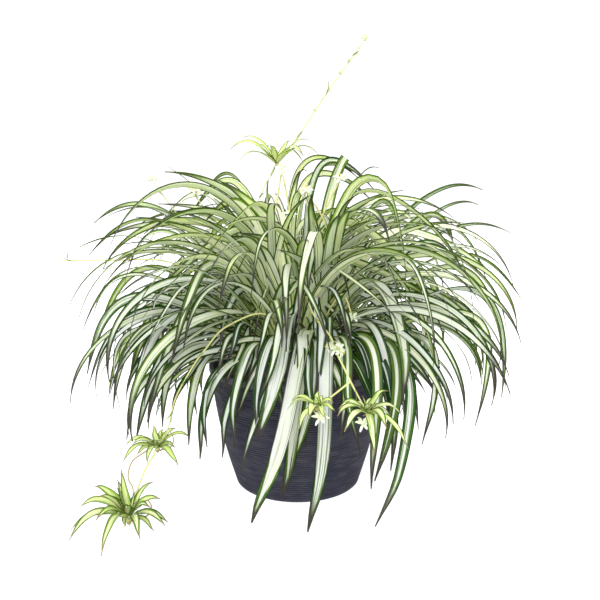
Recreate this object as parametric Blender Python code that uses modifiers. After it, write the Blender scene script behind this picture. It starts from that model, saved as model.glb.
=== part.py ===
"""A spider plant in a round plastic pot: pot, soil, crown, leaves, runners, plantlets and flowers.

Metres, +Z up. The origin is the centre of the pot's base, on the surface that it stands on.
-Y is the front. A place on the plant is (azimuth in degrees, reach from the pot's axis, height);
azimuth 0 is +X, 90 is the back and -90 is the front.
"""

import math

import bmesh
import bpy
from mathutils import Vector

# Pot
POT_HEIGHT = 0.180
RIM_RADIUS = 0.1325
BASE_RADIUS = 0.0935
SIDE_BULGE = 0.006  # how far the side stands out, halfway up, from a straight taper
BAND_HEIGHT = 0.009  # smooth band under the lip
BAND_STEP = 0.0015  # how far the band stands out from the side
BAND_EDGE = 0.0005  # height over which the side steps out to the band
LIP_WIDTH = 0.006
LIP_BEVEL = 0.001
WALL = 0.003
FLOOR = 0.004
BASE_ROUNDING = 0.003
SIDE_STEPS = 7
TURN_STEPS = 48
DRAIN_HOLES = 6
DRAIN_RADIUS = 0.0055
DRAIN_RING = 0.062
DRAIN_SIDES = 12
DRILL_LENGTH = 0.016  # longer than the floor is thick

# Soil and crown
GAP = 0.0003  # between pieces that touch
SOIL_TOP = 0.164
SOIL_DISH = 0.003  # the soil is this much lower at the wall
SOIL_LEVEL = 0.062  # radius within which the soil is level
CROWN_RADIUS = 0.058
CROWN_HEIGHT = 0.024
SEAT = 0.0008  # from the crown to the middle of the foot of a leaf or runner

# Leaves
LEAF_THICKNESS = 0.0009
LEAF_ROWS = 11
LEAF_FOLD = 0.45  # rise of the margins over the midrib, as a share of the half width, at the foot
BEND = 0.76  # how tightly a leaf turns at its middle: 0.67 is a parabola
FLAT_FOOT = 0.054  # reach of the foot of a leaf that lies flat; a steep one starts nearer the middle
STEEP_FOOT = 0.016
FOOT_SHARE = 0.34  # width at the foot, as a share of the widest place
WIDE_FROM = 0.3  # share of a leaf's length after which it has its full width
TAPER = 0.97  # share of the width that is lost by the tip
TAPER_POWER = 3.2  # higher keeps a leaf wide for longer before it narrows
FOLD_OPENS = 0.7  # share of the fold that is gone by the tip

# Every leaf: foot azimuth, middle, tip, width. The middle and the tip are (azimuth, reach, height).
LEAVES = {
    "front": [
        (-85, (-98, 0.105, 0.263), (-105, 0.176, 0.125), 0.022),
        (-55, (-74, 0.135, 0.235), (-86, 0.198, 0.014), 0.020),
        (-68, (-86, 0.124, 0.235), (-106, 0.202, 0.024), 0.020),
        (-35, (-66, 0.137, 0.226), (-72, 0.168, 0.116), 0.012),
        (-125, (-121, 0.117, 0.210), (-127, 0.166, 0.083), 0.014),
        (-140, (-130, 0.145, 0.196), (-137, 0.180, 0.078), 0.014),
        (-150, (-146, 0.146, 0.206), (-148, 0.175, 0.082), 0.014),
        (-100, (-110, 0.096, 0.268), (-112, 0.134, 0.202), 0.010),
    ],
    "right": [
        (-20, (-41, 0.137, 0.305), (-50, 0.199, 0.160), 0.016),
        (-30, (-46, 0.143, 0.250), (-53, 0.193, 0.073), 0.013),
        (-25, (-42, 0.187, 0.200), (-66, 0.222, 0.026), 0.014),
        (-18, (-28, 0.194, 0.231), (-35, 0.207, 0.095), 0.013),
        (-10, (-9, 0.249, 0.257), (-18, 0.261, 0.107), 0.011),
        (0, (0, 0.256, 0.288), (3, 0.312, 0.122), 0.011),
        (10, (8, 0.228, 0.335), (3, 0.342, 0.268), 0.011),
        (20, (12, 0.209, 0.362), (9, 0.334, 0.371), 0.011),
        (35, (18, 0.183, 0.408), (13, 0.296, 0.437), 0.013),
    ],
    "top": [
        (10, (20, 0.045, 0.400), (15, 0.070, 0.483), 0.015),
        (95, (70, 0.040, 0.445), (38, 0.130, 0.463), 0.013),
        (-135, (-90, 0.040, 0.425), (-65, 0.099, 0.285), 0.015),
        (150, (161, 0.085, 0.432), (169, 0.166, 0.396), 0.012),
        (130, (145, 0.135, 0.385), (145, 0.280, 0.484), 0.010),
        (-165, (-145, 0.076, 0.395), (-151, 0.143, 0.390), 0.017),
        (-110, (-122, 0.085, 0.345), (-129, 0.129, 0.309), 0.018),
    ],
    "left": [
        (175, (172, 0.205, 0.352), (175, 0.352, 0.340), 0.012),
        (165, (161, 0.185, 0.385), (167, 0.307, 0.396), 0.011),
        (-170, (-163, 0.174, 0.369), (-163, 0.246, 0.306), 0.014),
        (-178, (180, 0.220, 0.321), (180, 0.326, 0.216), 0.012),
        (-172, (-172, 0.215, 0.263), (-170, 0.303, 0.156), 0.014),
        (170, (175, 0.226, 0.232), (176, 0.299, 0.114), 0.011),
        (-160, (-145, 0.190, 0.268), (-152, 0.257, 0.104), 0.016),
        (-163, (-168, 0.236, 0.236), (-168, 0.255, 0.096), 0.012),
    ],
    "back": [
        (45, (42, 0.190, 0.345), (38, 0.290, 0.230), 0.014),
        (70, (68, 0.170, 0.310), (72, 0.250, 0.130), 0.014),
        (90, (95, 0.165, 0.390), (98, 0.285, 0.340), 0.013),
        (115, (118, 0.185, 0.300), (120, 0.265, 0.120), 0.014),
        (125, (140, 0.200, 0.290), (143, 0.290, 0.150), 0.013),
    ],
}

# Runners and stalks: thin round stems through their points (x, y, z). One that starts on the crown
# has no height at its first point, and the ends named in STEM_ENDS stop at a rosette's core.
RUNNER = 0.0016  # radius
STALK = 0.0012
STEM_STOP = 0.0008  # from a rosette's core to a stem's end
STEM_POINTS = 16
STEM_ROUNDNESS = 1  # bevel resolution: 6 sides
STEMS = {
    "flower_stalk_lower": (
        STALK,
        [
            (-0.004, 0.000, None),
            (-0.062, 0.002, 0.300),
            (-0.070, -0.004, 0.370),
            (-0.052, -0.002, 0.430),
        ],
    ),
    "flower_stalk_upper": (STALK, [(0.004, 0.0, 0.514), (0.036, 0.0, 0.562), (0.066, 0.0, 0.603)]),
    "left_flower_stalk_a": (
        STALK,
        [
            (-0.046, 0.020, None),
            (-0.105, 0.028, 0.285),
            (-0.147, 0.026, 0.352),
            (-0.175, 0.022, 0.392),
        ],
    ),
    "left_flower_stalk_b": (
        STALK,
        [
            (-0.036, 0.034, None),
            (-0.080, 0.036, 0.315),
            (-0.115, 0.030, 0.378),
            (-0.137, 0.024, 0.405),
        ],
    ),
    "bare_runner": (
        RUNNER,
        [
            (-0.048, 0.012, None),
            (-0.120, 0.016, 0.285),
            (-0.190, 0.012, 0.328),
            (-0.270, 0.005, 0.332),
            (-0.354, 0.0, 0.331),
        ],
    ),
    "hanging_runner": (
        RUNNER,
        [
            (-0.020, -0.046, None),
            (-0.040, -0.080, 0.262),
            (-0.093, -0.100, 0.252),
            (-0.122, -0.110, 0.222),
            (-0.141, -0.115, 0.195),
            (-0.161, -0.118, 0.158),
            (-0.172, -0.115, 0.118),
        ],
    ),
    "hanging_runner_end": (
        RUNNER,
        [(-0.205, -0.118, 0.058), (-0.213, -0.130, 0.035), (-0.217, -0.140, 0.019)],
    ),
    "front_runner": (
        RUNNER,
        [
            (0.008, -0.020, None),
            (0.011, -0.055, 0.272),
            (0.012, -0.090, 0.290),
            (0.015, -0.112, 0.284),
            (0.024, -0.130, 0.267),
            (0.041, -0.151, 0.249),
        ],
    ),
    "front_runner_end": (
        RUNNER,
        [(0.058, -0.172, 0.212), (0.066, -0.181, 0.196), (0.075, -0.191, 0.180)],
    ),
    "front_runner_fork": (
        RUNNER,
        [(0.0635, -0.1815, 0.1985), (0.046, -0.190, 0.187), (0.033, -0.196, 0.179)],
    ),
}
# Which rosettes a stem's two ends stop at
STEM_ENDS = {
    "flower_stalk_lower": (None, "stalk_tuft"),
    "flower_stalk_upper": ("stalk_tuft", "top_flower"),
    "left_flower_stalk_a": (None, "left_flower_a"),
    "left_flower_stalk_b": (None, "left_flower_b"),
    "hanging_runner": (None, "plantlet_upper"),
    "hanging_runner_end": ("plantlet_upper", "plantlet_lower"),
    "front_runner": (None, "front_flower"),
    "front_runner_end": ("front_flower", "plantlet_right"),
    "front_runner_fork": (None, "plantlet_left"),
}

# Rosettes: plantlets, a tuft and flowers. Centre, core radius, then each blade's azimuth, rise in
# degrees, length and width.
BLADE_ROWS = 5
PETAL_ROWS = 3
BLADE_DROOP = 0.55  # how far a blade's tip falls, as a share of its length
BLADE_FOLD = 0.2
BLADE_THICKNESS = 0.0011
BLADE_FOOT = 0.3  # where a blade starts, as a share of the core's radius
BLADE_MIDDLE = 0.55  # where its middle lies along its launch, as a share of its length
PETALS = [(18 + turn, 25, 0.011, 0.005) for turn in range(0, 360, 72)]
ROSETTES = {
    "stalk_tuft": (
        (-0.030, 0.0, 0.470),
        0.004,
        [
            (180, 40, 0.088, 0.008),
            (150, 52, 0.060, 0.007),
            (58, 34, 0.080, 0.007),
            (-50, 34, 0.070, 0.007),
            (-110, 50, 0.050, 0.007),
            (100, 45, 0.055, 0.007),
        ],
    ),
    "plantlet_upper": (
        (-0.190, -0.106, 0.084),
        0.005,
        [
            (12, 38, 0.056, 0.007),
            (178, 32, 0.050, 0.007),
            (210, 20, 0.050, 0.007),
            (130, 74, 0.036, 0.007),
            (-95, 25, 0.046, 0.007),
            (85, 28, 0.048, 0.007),
        ],
    ),
    "plantlet_lower": (
        (-0.219, -0.152, 0.0062),
        0.006,
        [
            (-138, 29, 0.088, 0.009),
            (176, 36, 0.080, 0.009),
            (-95, 29, 0.098, 0.009),
            (-62, 30, 0.066, 0.009),
            (8, 50, 0.062, 0.009),
            (150, 70, 0.062, 0.009),
            (-175, 62, 0.052, 0.008),
        ],
    ),
    "plantlet_right": (
        (0.083, -0.200, 0.166),
        0.004,
        [
            (195, 38, 0.044, 0.007),
            (-140, 10, 0.038, 0.007),
            (20, 55, 0.046, 0.007),
            (-85, -15, 0.044, 0.007),
            (-25, -10, 0.050, 0.007),
            (70, 35, 0.034, 0.007),
        ],
    ),
    "plantlet_left": (
        (0.024, -0.200, 0.172),
        0.004,
        [
            (175, 38, 0.038, 0.006),
            (-140, -5, 0.030, 0.006),
            (-75, 20, 0.028, 0.006),
            (95, 62, 0.026, 0.006),
        ],
    ),
    "top_flower": ((0.094, 0.0, 0.641), 0.003, PETALS),
    "left_flower_a": ((-0.215, 0.020, 0.448), 0.003, PETALS),
    "left_flower_b": ((-0.156, 0.020, 0.433), 0.003, PETALS),
    "front_flower": ((0.047, -0.160, 0.233), 0.003, PETALS),
}

GREEN = (0.13, 0.30, 0.05, 1)
PALE = (0.62, 0.72, 0.42, 1)
YELLOW = (0.62, 0.55, 0.10, 1)
WHITE = (0.85, 0.87, 0.78, 1)
SLATE = (0.055, 0.057, 0.08, 1)
EARTH = (0.045, 0.03, 0.02, 1)


def material(name, colour, roughness):
    """A plain material of the part's own colour; nothing on the plant is metal."""
    mat = bpy.data.materials.new(name)
    mat.use_nodes = True
    shader = mat.node_tree.nodes["Principled BSDF"]
    shader.inputs["Base Color"].default_value = colour
    shader.inputs["Roughness"].default_value = roughness
    shader.inputs["Metallic"].default_value = 0.0
    return mat


def collection(name):
    """A new collection in the scene."""
    made = bpy.data.collections.new(name)
    bpy.context.scene.collection.children.link(made)
    return made


def place(azimuth, reach, height):
    """A point given the way that this file gives places."""
    turn = math.radians(azimuth)
    return Vector((reach * math.cos(turn), reach * math.sin(turn), height))


def add_mesh(name, mesh, mat, home):
    """A named object in its collection, wearing its material."""
    made = bpy.data.objects.new(name, mesh)
    mesh.materials.append(mat)
    home.objects.link(made)
    return made


def hidden(tool):
    """Marks an object that only cuts or joins another."""
    tool.hide_render = True
    tool.display_type = "WIRE"
    return tool


def turned(name, profile, mat, home):
    """A solid of revolution about Z; the profile is (radius, height), down its outer side."""
    mesh = bpy.data.meshes.new(name)
    points = [(radius, 0, height) for radius, height in profile]
    mesh.from_pydata(points, [(i, i + 1) for i in range(len(points) - 1)], [])
    made = add_mesh(name, mesh, mat, home)
    screw = made.modifiers.new("turn", "SCREW")
    screw.steps = screw.render_steps = TURN_STEPS
    screw.use_merge_vertices = True
    screw.merge_threshold = 0.00001
    screw.use_smooth_shade = True
    return made


def side_radius(height):
    """Outer radius of the pot's side, under its band."""
    up = height / POT_HEIGHT
    straight = BASE_RADIUS + (RIM_RADIUS - BAND_STEP - BASE_RADIUS) * up
    return straight + SIDE_BULGE * math.sin(math.pi * up)


def wall_heights(low, high):
    """Evenly spaced heights up the side, from low to high."""
    return [low + (high - low) * i / SIDE_STEPS for i in range(SIDE_STEPS + 1)]


def pot(mat, home, tools):
    """The pot: a turned shell with a flat lip, a band under it and drain holes in its floor."""
    inside = [(side_radius(z) - WALL, z) for z in wall_heights(FLOOR, POT_HEIGHT - BAND_HEIGHT)]
    inner = RIM_RADIUS - LIP_WIDTH
    lip = [(inner, POT_HEIGHT - LIP_BEVEL), (inner + LIP_BEVEL, POT_HEIGHT)]
    lip += [(RIM_RADIUS - LIP_BEVEL, POT_HEIGHT), (RIM_RADIUS, POT_HEIGHT - LIP_BEVEL)]
    band = [(RIM_RADIUS, POT_HEIGHT - BAND_HEIGHT)]
    side_top = POT_HEIGHT - BAND_HEIGHT - BAND_EDGE
    outside = [(side_radius(z), z) for z in reversed(wall_heights(BASE_ROUNDING, side_top))]
    centre = side_radius(BASE_ROUNDING) - BASE_ROUNDING
    corner = [
        (centre + BASE_ROUNDING * math.cos(turn), BASE_ROUNDING - BASE_ROUNDING * math.sin(turn))
        for turn in (math.radians(30), math.radians(60), math.radians(90))
    ]
    made = turned("pot", [(0, FLOOR)] + inside + lip + band + outside + corner + [(0, 0)], mat, home)
    for i in range(DRAIN_HOLES):
        drill = bmesh.new()
        radii = {"radius1": DRAIN_RADIUS, "radius2": DRAIN_RADIUS}
        bmesh.ops.create_cone(drill, cap_ends=True, segments=DRAIN_SIDES, depth=DRILL_LENGTH, **radii)
        mesh = bpy.data.meshes.new(f"drill_{i}")
        drill.to_mesh(mesh)
        drill.free()
        cutter = hidden(add_mesh(f"drill_{i}", mesh, mat, tools))
        cutter.location = place((i + 0.5) * 360 / DRAIN_HOLES, DRAIN_RING, FLOOR / 2)
        cut = made.modifiers.new(f"drain {i}", "BOOLEAN")
        cut.object = cutter


def soil(mat, home):
    """Soil that fills the pot to just under its rim, level under the crown."""
    low = FLOOR + GAP
    edge = SOIL_TOP - SOIL_DISH
    sides = [(side_radius(z) - WALL - 2 * GAP, z) for z in reversed(wall_heights(low, edge))]
    turned("soil", [(0, SOIL_TOP), (SOIL_LEVEL, SOIL_TOP)] + sides + [(0, low)], mat, home)


def crown_height(reach):
    """Height of the crown's top at this reach."""
    across = min(reach / CROWN_RADIUS, 1)
    return SOIL_TOP + GAP + CROWN_HEIGHT * math.sqrt(1 - across**2)


def crown(mat, home):
    """The low domed clump of rhizomes that everything grows from."""
    reaches = [CROWN_RADIUS * math.sin(math.radians(turn)) for turn in range(0, 91, 15)]
    turned("crown", [(r, crown_height(r)) for r in reaches] + [(0, SOIL_TOP + GAP)], mat, home)


def leaf_line(foot, middle, tip, count):
    """Points and directions along a leaf: a curve from foot to tip that passes through middle."""
    ends = (4 - 3 * BEND) / 8
    knee = (middle - (foot + tip) * ends) / (0.75 * BEND)
    out, back = foot.lerp(knee, BEND), tip.lerp(knee, BEND)
    line = []
    for i in range(count):
        t = i / (count - 1)
        s = 1 - t
        point = foot * s**3 + out * (3 * s * s * t) + back * (3 * s * t * t) + tip * t**3
        along = (out - foot) * (s * s) + (back - out) * (2 * s * t) + (tip - back) * (t * t)
        line.append((point, along.normalized(), t))
    return line


def half_width(along, width):
    """Half the blade's width: narrow at the foot, full by a third of the way, then to a fine point."""
    start = min(along / WIDE_FROM, 1)
    start = start * start * (3 - 2 * start)
    return 0.5 * width * (FOOT_SHARE + (1 - FOOT_SHARE) * start) * (1 - TAPER * along**TAPER_POWER)


def blade_mesh(name, line, across, width, fold):
    """An open strip along a line, folded up a little along its midrib."""
    form = bmesh.new()
    bmesh.ops.create_grid(form, x_segments=2, y_segments=len(line) - 1, size=1)
    points, last = {}, None
    for row, (point, direction, t) in enumerate(line):
        across = (across - direction * across.dot(direction)).normalized()
        up = direction.cross(across)
        half = half_width(t, width)
        rise = up * (fold * (1 - FOLD_OPENS * t) * half)
        points[row] = (point - across * half + rise, point.copy(), point + across * half + rise)
        last = row
    for vertex in form.verts:
        row = round((vertex.co.y + 1) / 2 * last)
        vertex.co = points[row][round(vertex.co.x) + 1]
    mesh = bpy.data.meshes.new(name)
    form.to_mesh(mesh)
    form.free()
    mesh.shade_smooth()
    return mesh


def thicken(made, thickness):
    """Gives an open strip its thickness, half to each side."""
    shell = made.modifiers.new("thickness", "SOLIDIFY")
    shell.thickness = thickness
    shell.offset = 0


def leaf(name, foot_azimuth, middle, tip, width, mat, home):
    """One strap-like leaf from the crown."""
    steepness = math.sin(math.atan2(middle[2] - SOIL_TOP, middle[1]))
    reach = FLAT_FOOT + (STEEP_FOOT - FLAT_FOOT) * steepness
    foot = place(foot_azimuth, reach, crown_height(reach) + SEAT)
    line = leaf_line(foot, place(*middle), place(*tip), LEAF_ROWS)
    across = Vector((0, 0, 1)).cross(line[0][1])
    made = add_mesh(name, blade_mesh(name, line, across, width, LEAF_FOLD), mat, home)
    thicken(made, LEAF_THICKNESS)


def smooth_route(points, count):
    """Points along a smooth curve through the given ones, evenly spread between them."""
    ends = [points[0] * 2 - points[1]] + points + [points[-1] * 2 - points[-2]]
    route = []
    for i in range(count):
        whole, t = divmod(i * (len(points) - 1) / (count - 1), 1)
        k = min(int(whole), len(points) - 2)
        t = t + whole - k
        a, b, c, d = ends[k : k + 4]
        square = 2 * a - 5 * b + 4 * c - d
        cube = 3 * b - a - 3 * c + d
        route.append(0.5 * (2 * b + (c - a) * t + square * t**2 + cube * t**3))
    return route


def on_crown(x, y):
    """Where a stem starts on the crown."""
    return Vector((x, y, crown_height(math.hypot(x, y)) + SEAT))


def at_core(point, rosette_name):
    """Where a stem that comes from this point stops short of a rosette's core."""
    centre, core, _ = ROSETTES[rosette_name]
    centre = Vector(centre)
    return centre + (point - centre).normalized() * (core + STEM_STOP)


def stem(name, mat, home):
    """A round stem through its points, from the crown or a rosette to its end."""
    radius, places = STEMS[name]
    points = [on_crown(x, y) if z is None else Vector((x, y, z)) for x, y, z in places]
    first, last = STEM_ENDS.get(name, (None, None))
    if first:
        points.insert(0, at_core(points[0], first))
    if last:
        points.append(at_core(points[-1], last))
    curve = bpy.data.curves.new(name, "CURVE")
    curve.dimensions = "3D"
    curve.bevel_depth = radius
    curve.bevel_resolution = STEM_ROUNDNESS
    curve.use_fill_caps = True
    spline = curve.splines.new("POLY")
    route = smooth_route(points, STEM_POINTS)
    spline.points.add(len(route) - 1)
    for control, point in zip(spline.points, route):
        control.co = (*point, 1)
    made = bpy.data.objects.new(name, curve)
    curve.materials.append(mat)
    home.objects.link(made)


def rosette(name, mat, home, tools):
    """Short blades round a small core, joined in one solid: a plantlet, a tuft or a flower."""
    centre, core, blades = ROSETTES[name]
    form = bmesh.new()
    bmesh.ops.create_uvsphere(form, u_segments=8, v_segments=5, radius=core)
    mesh = bpy.data.meshes.new(name)
    form.to_mesh(mesh)
    form.free()
    made = add_mesh(name, mesh, mat, home)
    made.location = centre
    group = bpy.data.collections.new(f"{name} blades")
    tools.children.link(group)
    for i, (azimuth, rise, length, width) in enumerate(blades):
        outward = place(azimuth, 1, 0)
        level = math.cos(math.radians(rise))
        launch = outward * level + Vector((0, 0, math.sin(math.radians(rise))))
        foot = Vector(centre) + launch * (core * BLADE_FOOT)
        tip = foot + launch * length - Vector((0, 0, BLADE_DROOP * length * level))
        middle = foot + launch * (length * BLADE_MIDDLE)
        line = leaf_line(foot, middle, tip, PETAL_ROWS if blades is PETALS else BLADE_ROWS)
        across = Vector((0, 0, 1)).cross(outward)
        strip = blade_mesh(name, line, across, width, BLADE_FOLD)
        blade = hidden(add_mesh(f"{name}_blade_{i}", strip, mat, group))
        thicken(blade, BLADE_THICKNESS)
    join = made.modifiers.new("blades", "BOOLEAN")
    join.operation = "UNION"
    join.operand_type = "COLLECTION"
    join.collection = group


def main():
    """Builds the whole plant."""
    for thing in list(bpy.data.objects):
        bpy.data.objects.remove(thing)
    home = collection("potted spider plant")
    tools = collection("cutters")
    plastic = material("pot_plastic", SLATE, 0.6)
    earth = material("potting_soil", EARTH, 0.95)
    rhizome = material("rhizome", PALE, 0.7)
    blade = material("leaf", GREEN, 0.45)
    runner = material("runner", YELLOW, 0.5)
    petal = material("petal", WHITE, 0.5)

    pot(plastic, home, tools)
    soil(earth, home)
    crown(rhizome, home)
    for side, leaves in LEAVES.items():
        for i, (foot_azimuth, middle, tip, width) in enumerate(leaves):
            leaf(f"leaf_{side}_{i + 1:02d}", foot_azimuth, middle, tip, width, blade, home)
    for name in STEMS:
        stem(name, runner, home)
    for name in ROSETTES:
        rosette(name, petal if "flower" in name else blade, home, tools)


if __name__ == "__main__":
    main()
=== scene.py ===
"""A potted spider plant: variegated leaves, runners, plantlets and flowers in a ribbed pot.

Metres, +Z up, -Y the front. A place on the plant is (azimuth in degrees, reach from the pot's
axis, height); azimuth 0 is +X, 90 is the back and -90 is the front. The tables give places and
sizes in degrees and millimetres.
"""

import math
import random

import bpy
from bpy.props import FloatProperty, FloatVectorProperty, IntProperty, PointerProperty
from mathutils import Matrix, Vector, noise


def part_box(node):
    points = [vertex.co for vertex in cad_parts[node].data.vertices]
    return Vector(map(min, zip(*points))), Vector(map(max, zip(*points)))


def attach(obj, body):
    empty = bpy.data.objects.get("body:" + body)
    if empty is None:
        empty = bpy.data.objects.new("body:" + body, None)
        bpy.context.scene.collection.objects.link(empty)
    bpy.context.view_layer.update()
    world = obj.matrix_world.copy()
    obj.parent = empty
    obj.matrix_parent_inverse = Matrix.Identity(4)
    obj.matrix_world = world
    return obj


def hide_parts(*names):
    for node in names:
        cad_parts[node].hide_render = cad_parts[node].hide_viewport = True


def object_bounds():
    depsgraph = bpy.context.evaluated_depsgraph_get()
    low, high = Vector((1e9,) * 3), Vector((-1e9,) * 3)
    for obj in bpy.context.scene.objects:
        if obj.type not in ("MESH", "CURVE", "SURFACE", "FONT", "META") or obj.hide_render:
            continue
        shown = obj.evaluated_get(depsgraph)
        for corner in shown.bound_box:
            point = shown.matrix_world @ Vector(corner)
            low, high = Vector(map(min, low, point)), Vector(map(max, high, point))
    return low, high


bl_info = {
    "name": "Potted Spider Plant",
    "version": (1, 0, 0),
    "blender": (4, 5, 0),
    "location": "3D View > Sidebar > Spider Plant",
    "description": "Grows a variegated spider plant with runners and plantlets in a ribbed pot",
    "category": "Add Mesh",
}

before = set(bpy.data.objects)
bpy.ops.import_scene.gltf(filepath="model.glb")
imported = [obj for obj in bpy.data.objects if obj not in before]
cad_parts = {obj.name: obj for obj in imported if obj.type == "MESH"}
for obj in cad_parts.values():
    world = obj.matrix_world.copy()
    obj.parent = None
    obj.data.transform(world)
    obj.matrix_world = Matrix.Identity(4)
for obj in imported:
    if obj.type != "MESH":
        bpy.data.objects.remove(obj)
CAD_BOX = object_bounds()
BODY = "root"
UP = Vector((0, 0, 1))
GOLDEN_ANGLE = math.radians(137.508)
LOWEST_TIP = 0.0012  # how near the floor a plantlet's blades and roots come

# Pot, soil and crown, from the frame where it shows them
POT_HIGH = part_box("pot")[1]
POT_HEIGHT = POT_HIGH.z
RIM_RADIUS = POT_HIGH.x
BASE_RADIUS = 0.0935
SIDE_BULGE = 0.006
BAND_HEIGHT = 0.009
BAND_STEP = 0.0015
LIP_WIDTH = 0.006
LIP_ROUNDING = 0.0012
WALL = 0.003
FLOOR = 0.004
BASE_ROUNDING = 0.003
DRAIN_HOLES = 6
DRAIN_RADIUS = 0.0055
DRAIN_RING = 0.062
FLOOR_PLATE = DRAIN_RING + 3 * DRAIN_RADIUS  # radius of the part of the floor that has the holes
GAP = 0.0003
SOIL_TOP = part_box("soil")[1].z
SOIL_DISH = 0.003
SOIL_LUMPS = 0.0012
CROWN_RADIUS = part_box("crown")[1].x
CROWN_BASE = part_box("crown")[0].z
CROWN_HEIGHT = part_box("crown")[1].z - CROWN_BASE
CROWN_LUMPS = 0.0018
SEAT = 0.0008  # from the crown to the middle of the foot of a leaf or runner

# The leaf's form
BEND = 0.76  # how tightly a leaf turns at its middle: 0.67 is a parabola
FLAT_FOOT = 0.054  # reach of the foot of a leaf that lies flat; a steep one starts nearer the middle
STEEP_FOOT = 0.016
FOOT_SHARE = 0.34  # width at the foot, as a share of the widest place
WIDE_FROM = 0.3  # share of a leaf's length after which it has its full width
TAPER_POWER = 5.5  # higher keeps a leaf wide for longer before it narrows
POINT_POWER = 1.05  # higher draws the tip out finer
TIP_SHARE = 0.10  # width at the very tip, as a share of the widest place
MARGIN = 0.0014  # width of the dark line along both edges
MOST_MARGIN = 0.6  # the most of a half blade that this line may take
FOLD_OPENS = 0.7  # share of the fold that is gone by the tip
TOP_SIDE = (-1, -0.7, -0.36, 0, 0.36, 0.7, 1)  # places across the upper face, in half widths
UNDER_SIDE = (0.7, 0.36, 0, -0.36, -0.7)  # and back across the lower face
RING = len(TOP_SIDE) + len(UNDER_SIDE)
HALF_RING = RING // 2
TRIMMED_LEAF = "top_01"  # this one was cut off straight across
TRIMMED_SHARE = 0.78  # how much of its length is left

# Every leaf of the frame: foot azimuth, middle, tip, width
LEAVES = {
    "front": [
        (-85, (-98, 105, 263), (-105, 176, 125), 22),
        (-55, (-74, 135, 235), (-86, 198, 14), 20),
        (-68, (-86, 124, 235), (-106, 202, 24), 20),
        (-35, (-66, 137, 226), (-72, 168, 116), 12),
        (-125, (-121, 117, 210), (-127, 166, 83), 14),
        (-140, (-130, 145, 196), (-137, 180, 78), 14),
        (-150, (-146, 146, 206), (-148, 175, 82), 14),
        (-100, (-110, 96, 268), (-112, 134, 202), 10),
    ],
    "right": [
        (-20, (-41, 137, 305), (-50, 199, 160), 16),
        (-30, (-46, 143, 250), (-53, 193, 73), 13),
        (-25, (-42, 187, 200), (-66, 222, 26), 14),
        (-18, (-28, 194, 231), (-35, 207, 95), 13),
        (-10, (-9, 249, 257), (-18, 261, 107), 11),
        (0, (0, 256, 288), (3, 312, 122), 11),
        (10, (8, 228, 335), (3, 342, 268), 11),
        (20, (12, 209, 362), (9, 334, 371), 11),
        (35, (18, 183, 408), (13, 296, 437), 13),
    ],
    "top": [
        (10, (20, 45, 400), (15, 70, 483), 15),
        (95, (70, 40, 445), (38, 130, 463), 13),
        (-135, (-90, 40, 425), (-65, 99, 285), 15),
        (150, (161, 85, 432), (169, 166, 396), 12),
        (130, (145, 135, 385), (145, 280, 484), 10),
        (-165, (-145, 76, 395), (-151, 143, 390), 17),
        (-110, (-122, 85, 345), (-129, 129, 309), 18),
    ],
    "left": [
        (175, (172, 205, 352), (175, 352, 340), 12),
        (165, (161, 185, 385), (167, 307, 396), 11),
        (-170, (-163, 174, 369), (-163, 246, 306), 14),
        (-178, (180, 220, 321), (180, 326, 216), 12),
        (-172, (-172, 215, 263), (-170, 303, 156), 14),
        (170, (175, 226, 232), (176, 299, 114), 11),
        (-160, (-145, 190, 268), (-152, 257, 104), 16),
        (-163, (-168, 236, 236), (-168, 255, 96), 12),
    ],
    "back": [
        (45, (42, 190, 345), (38, 290, 230), 14),
        (70, (68, 170, 310), (72, 250, 130), 14),
        (90, (95, 165, 390), (98, 285, 340), 13),
        (115, (118, 185, 300), (120, 265, 120), 14),
        (125, (140, 200, 290), (143, 290, 150), 13),
    ],
}

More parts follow.
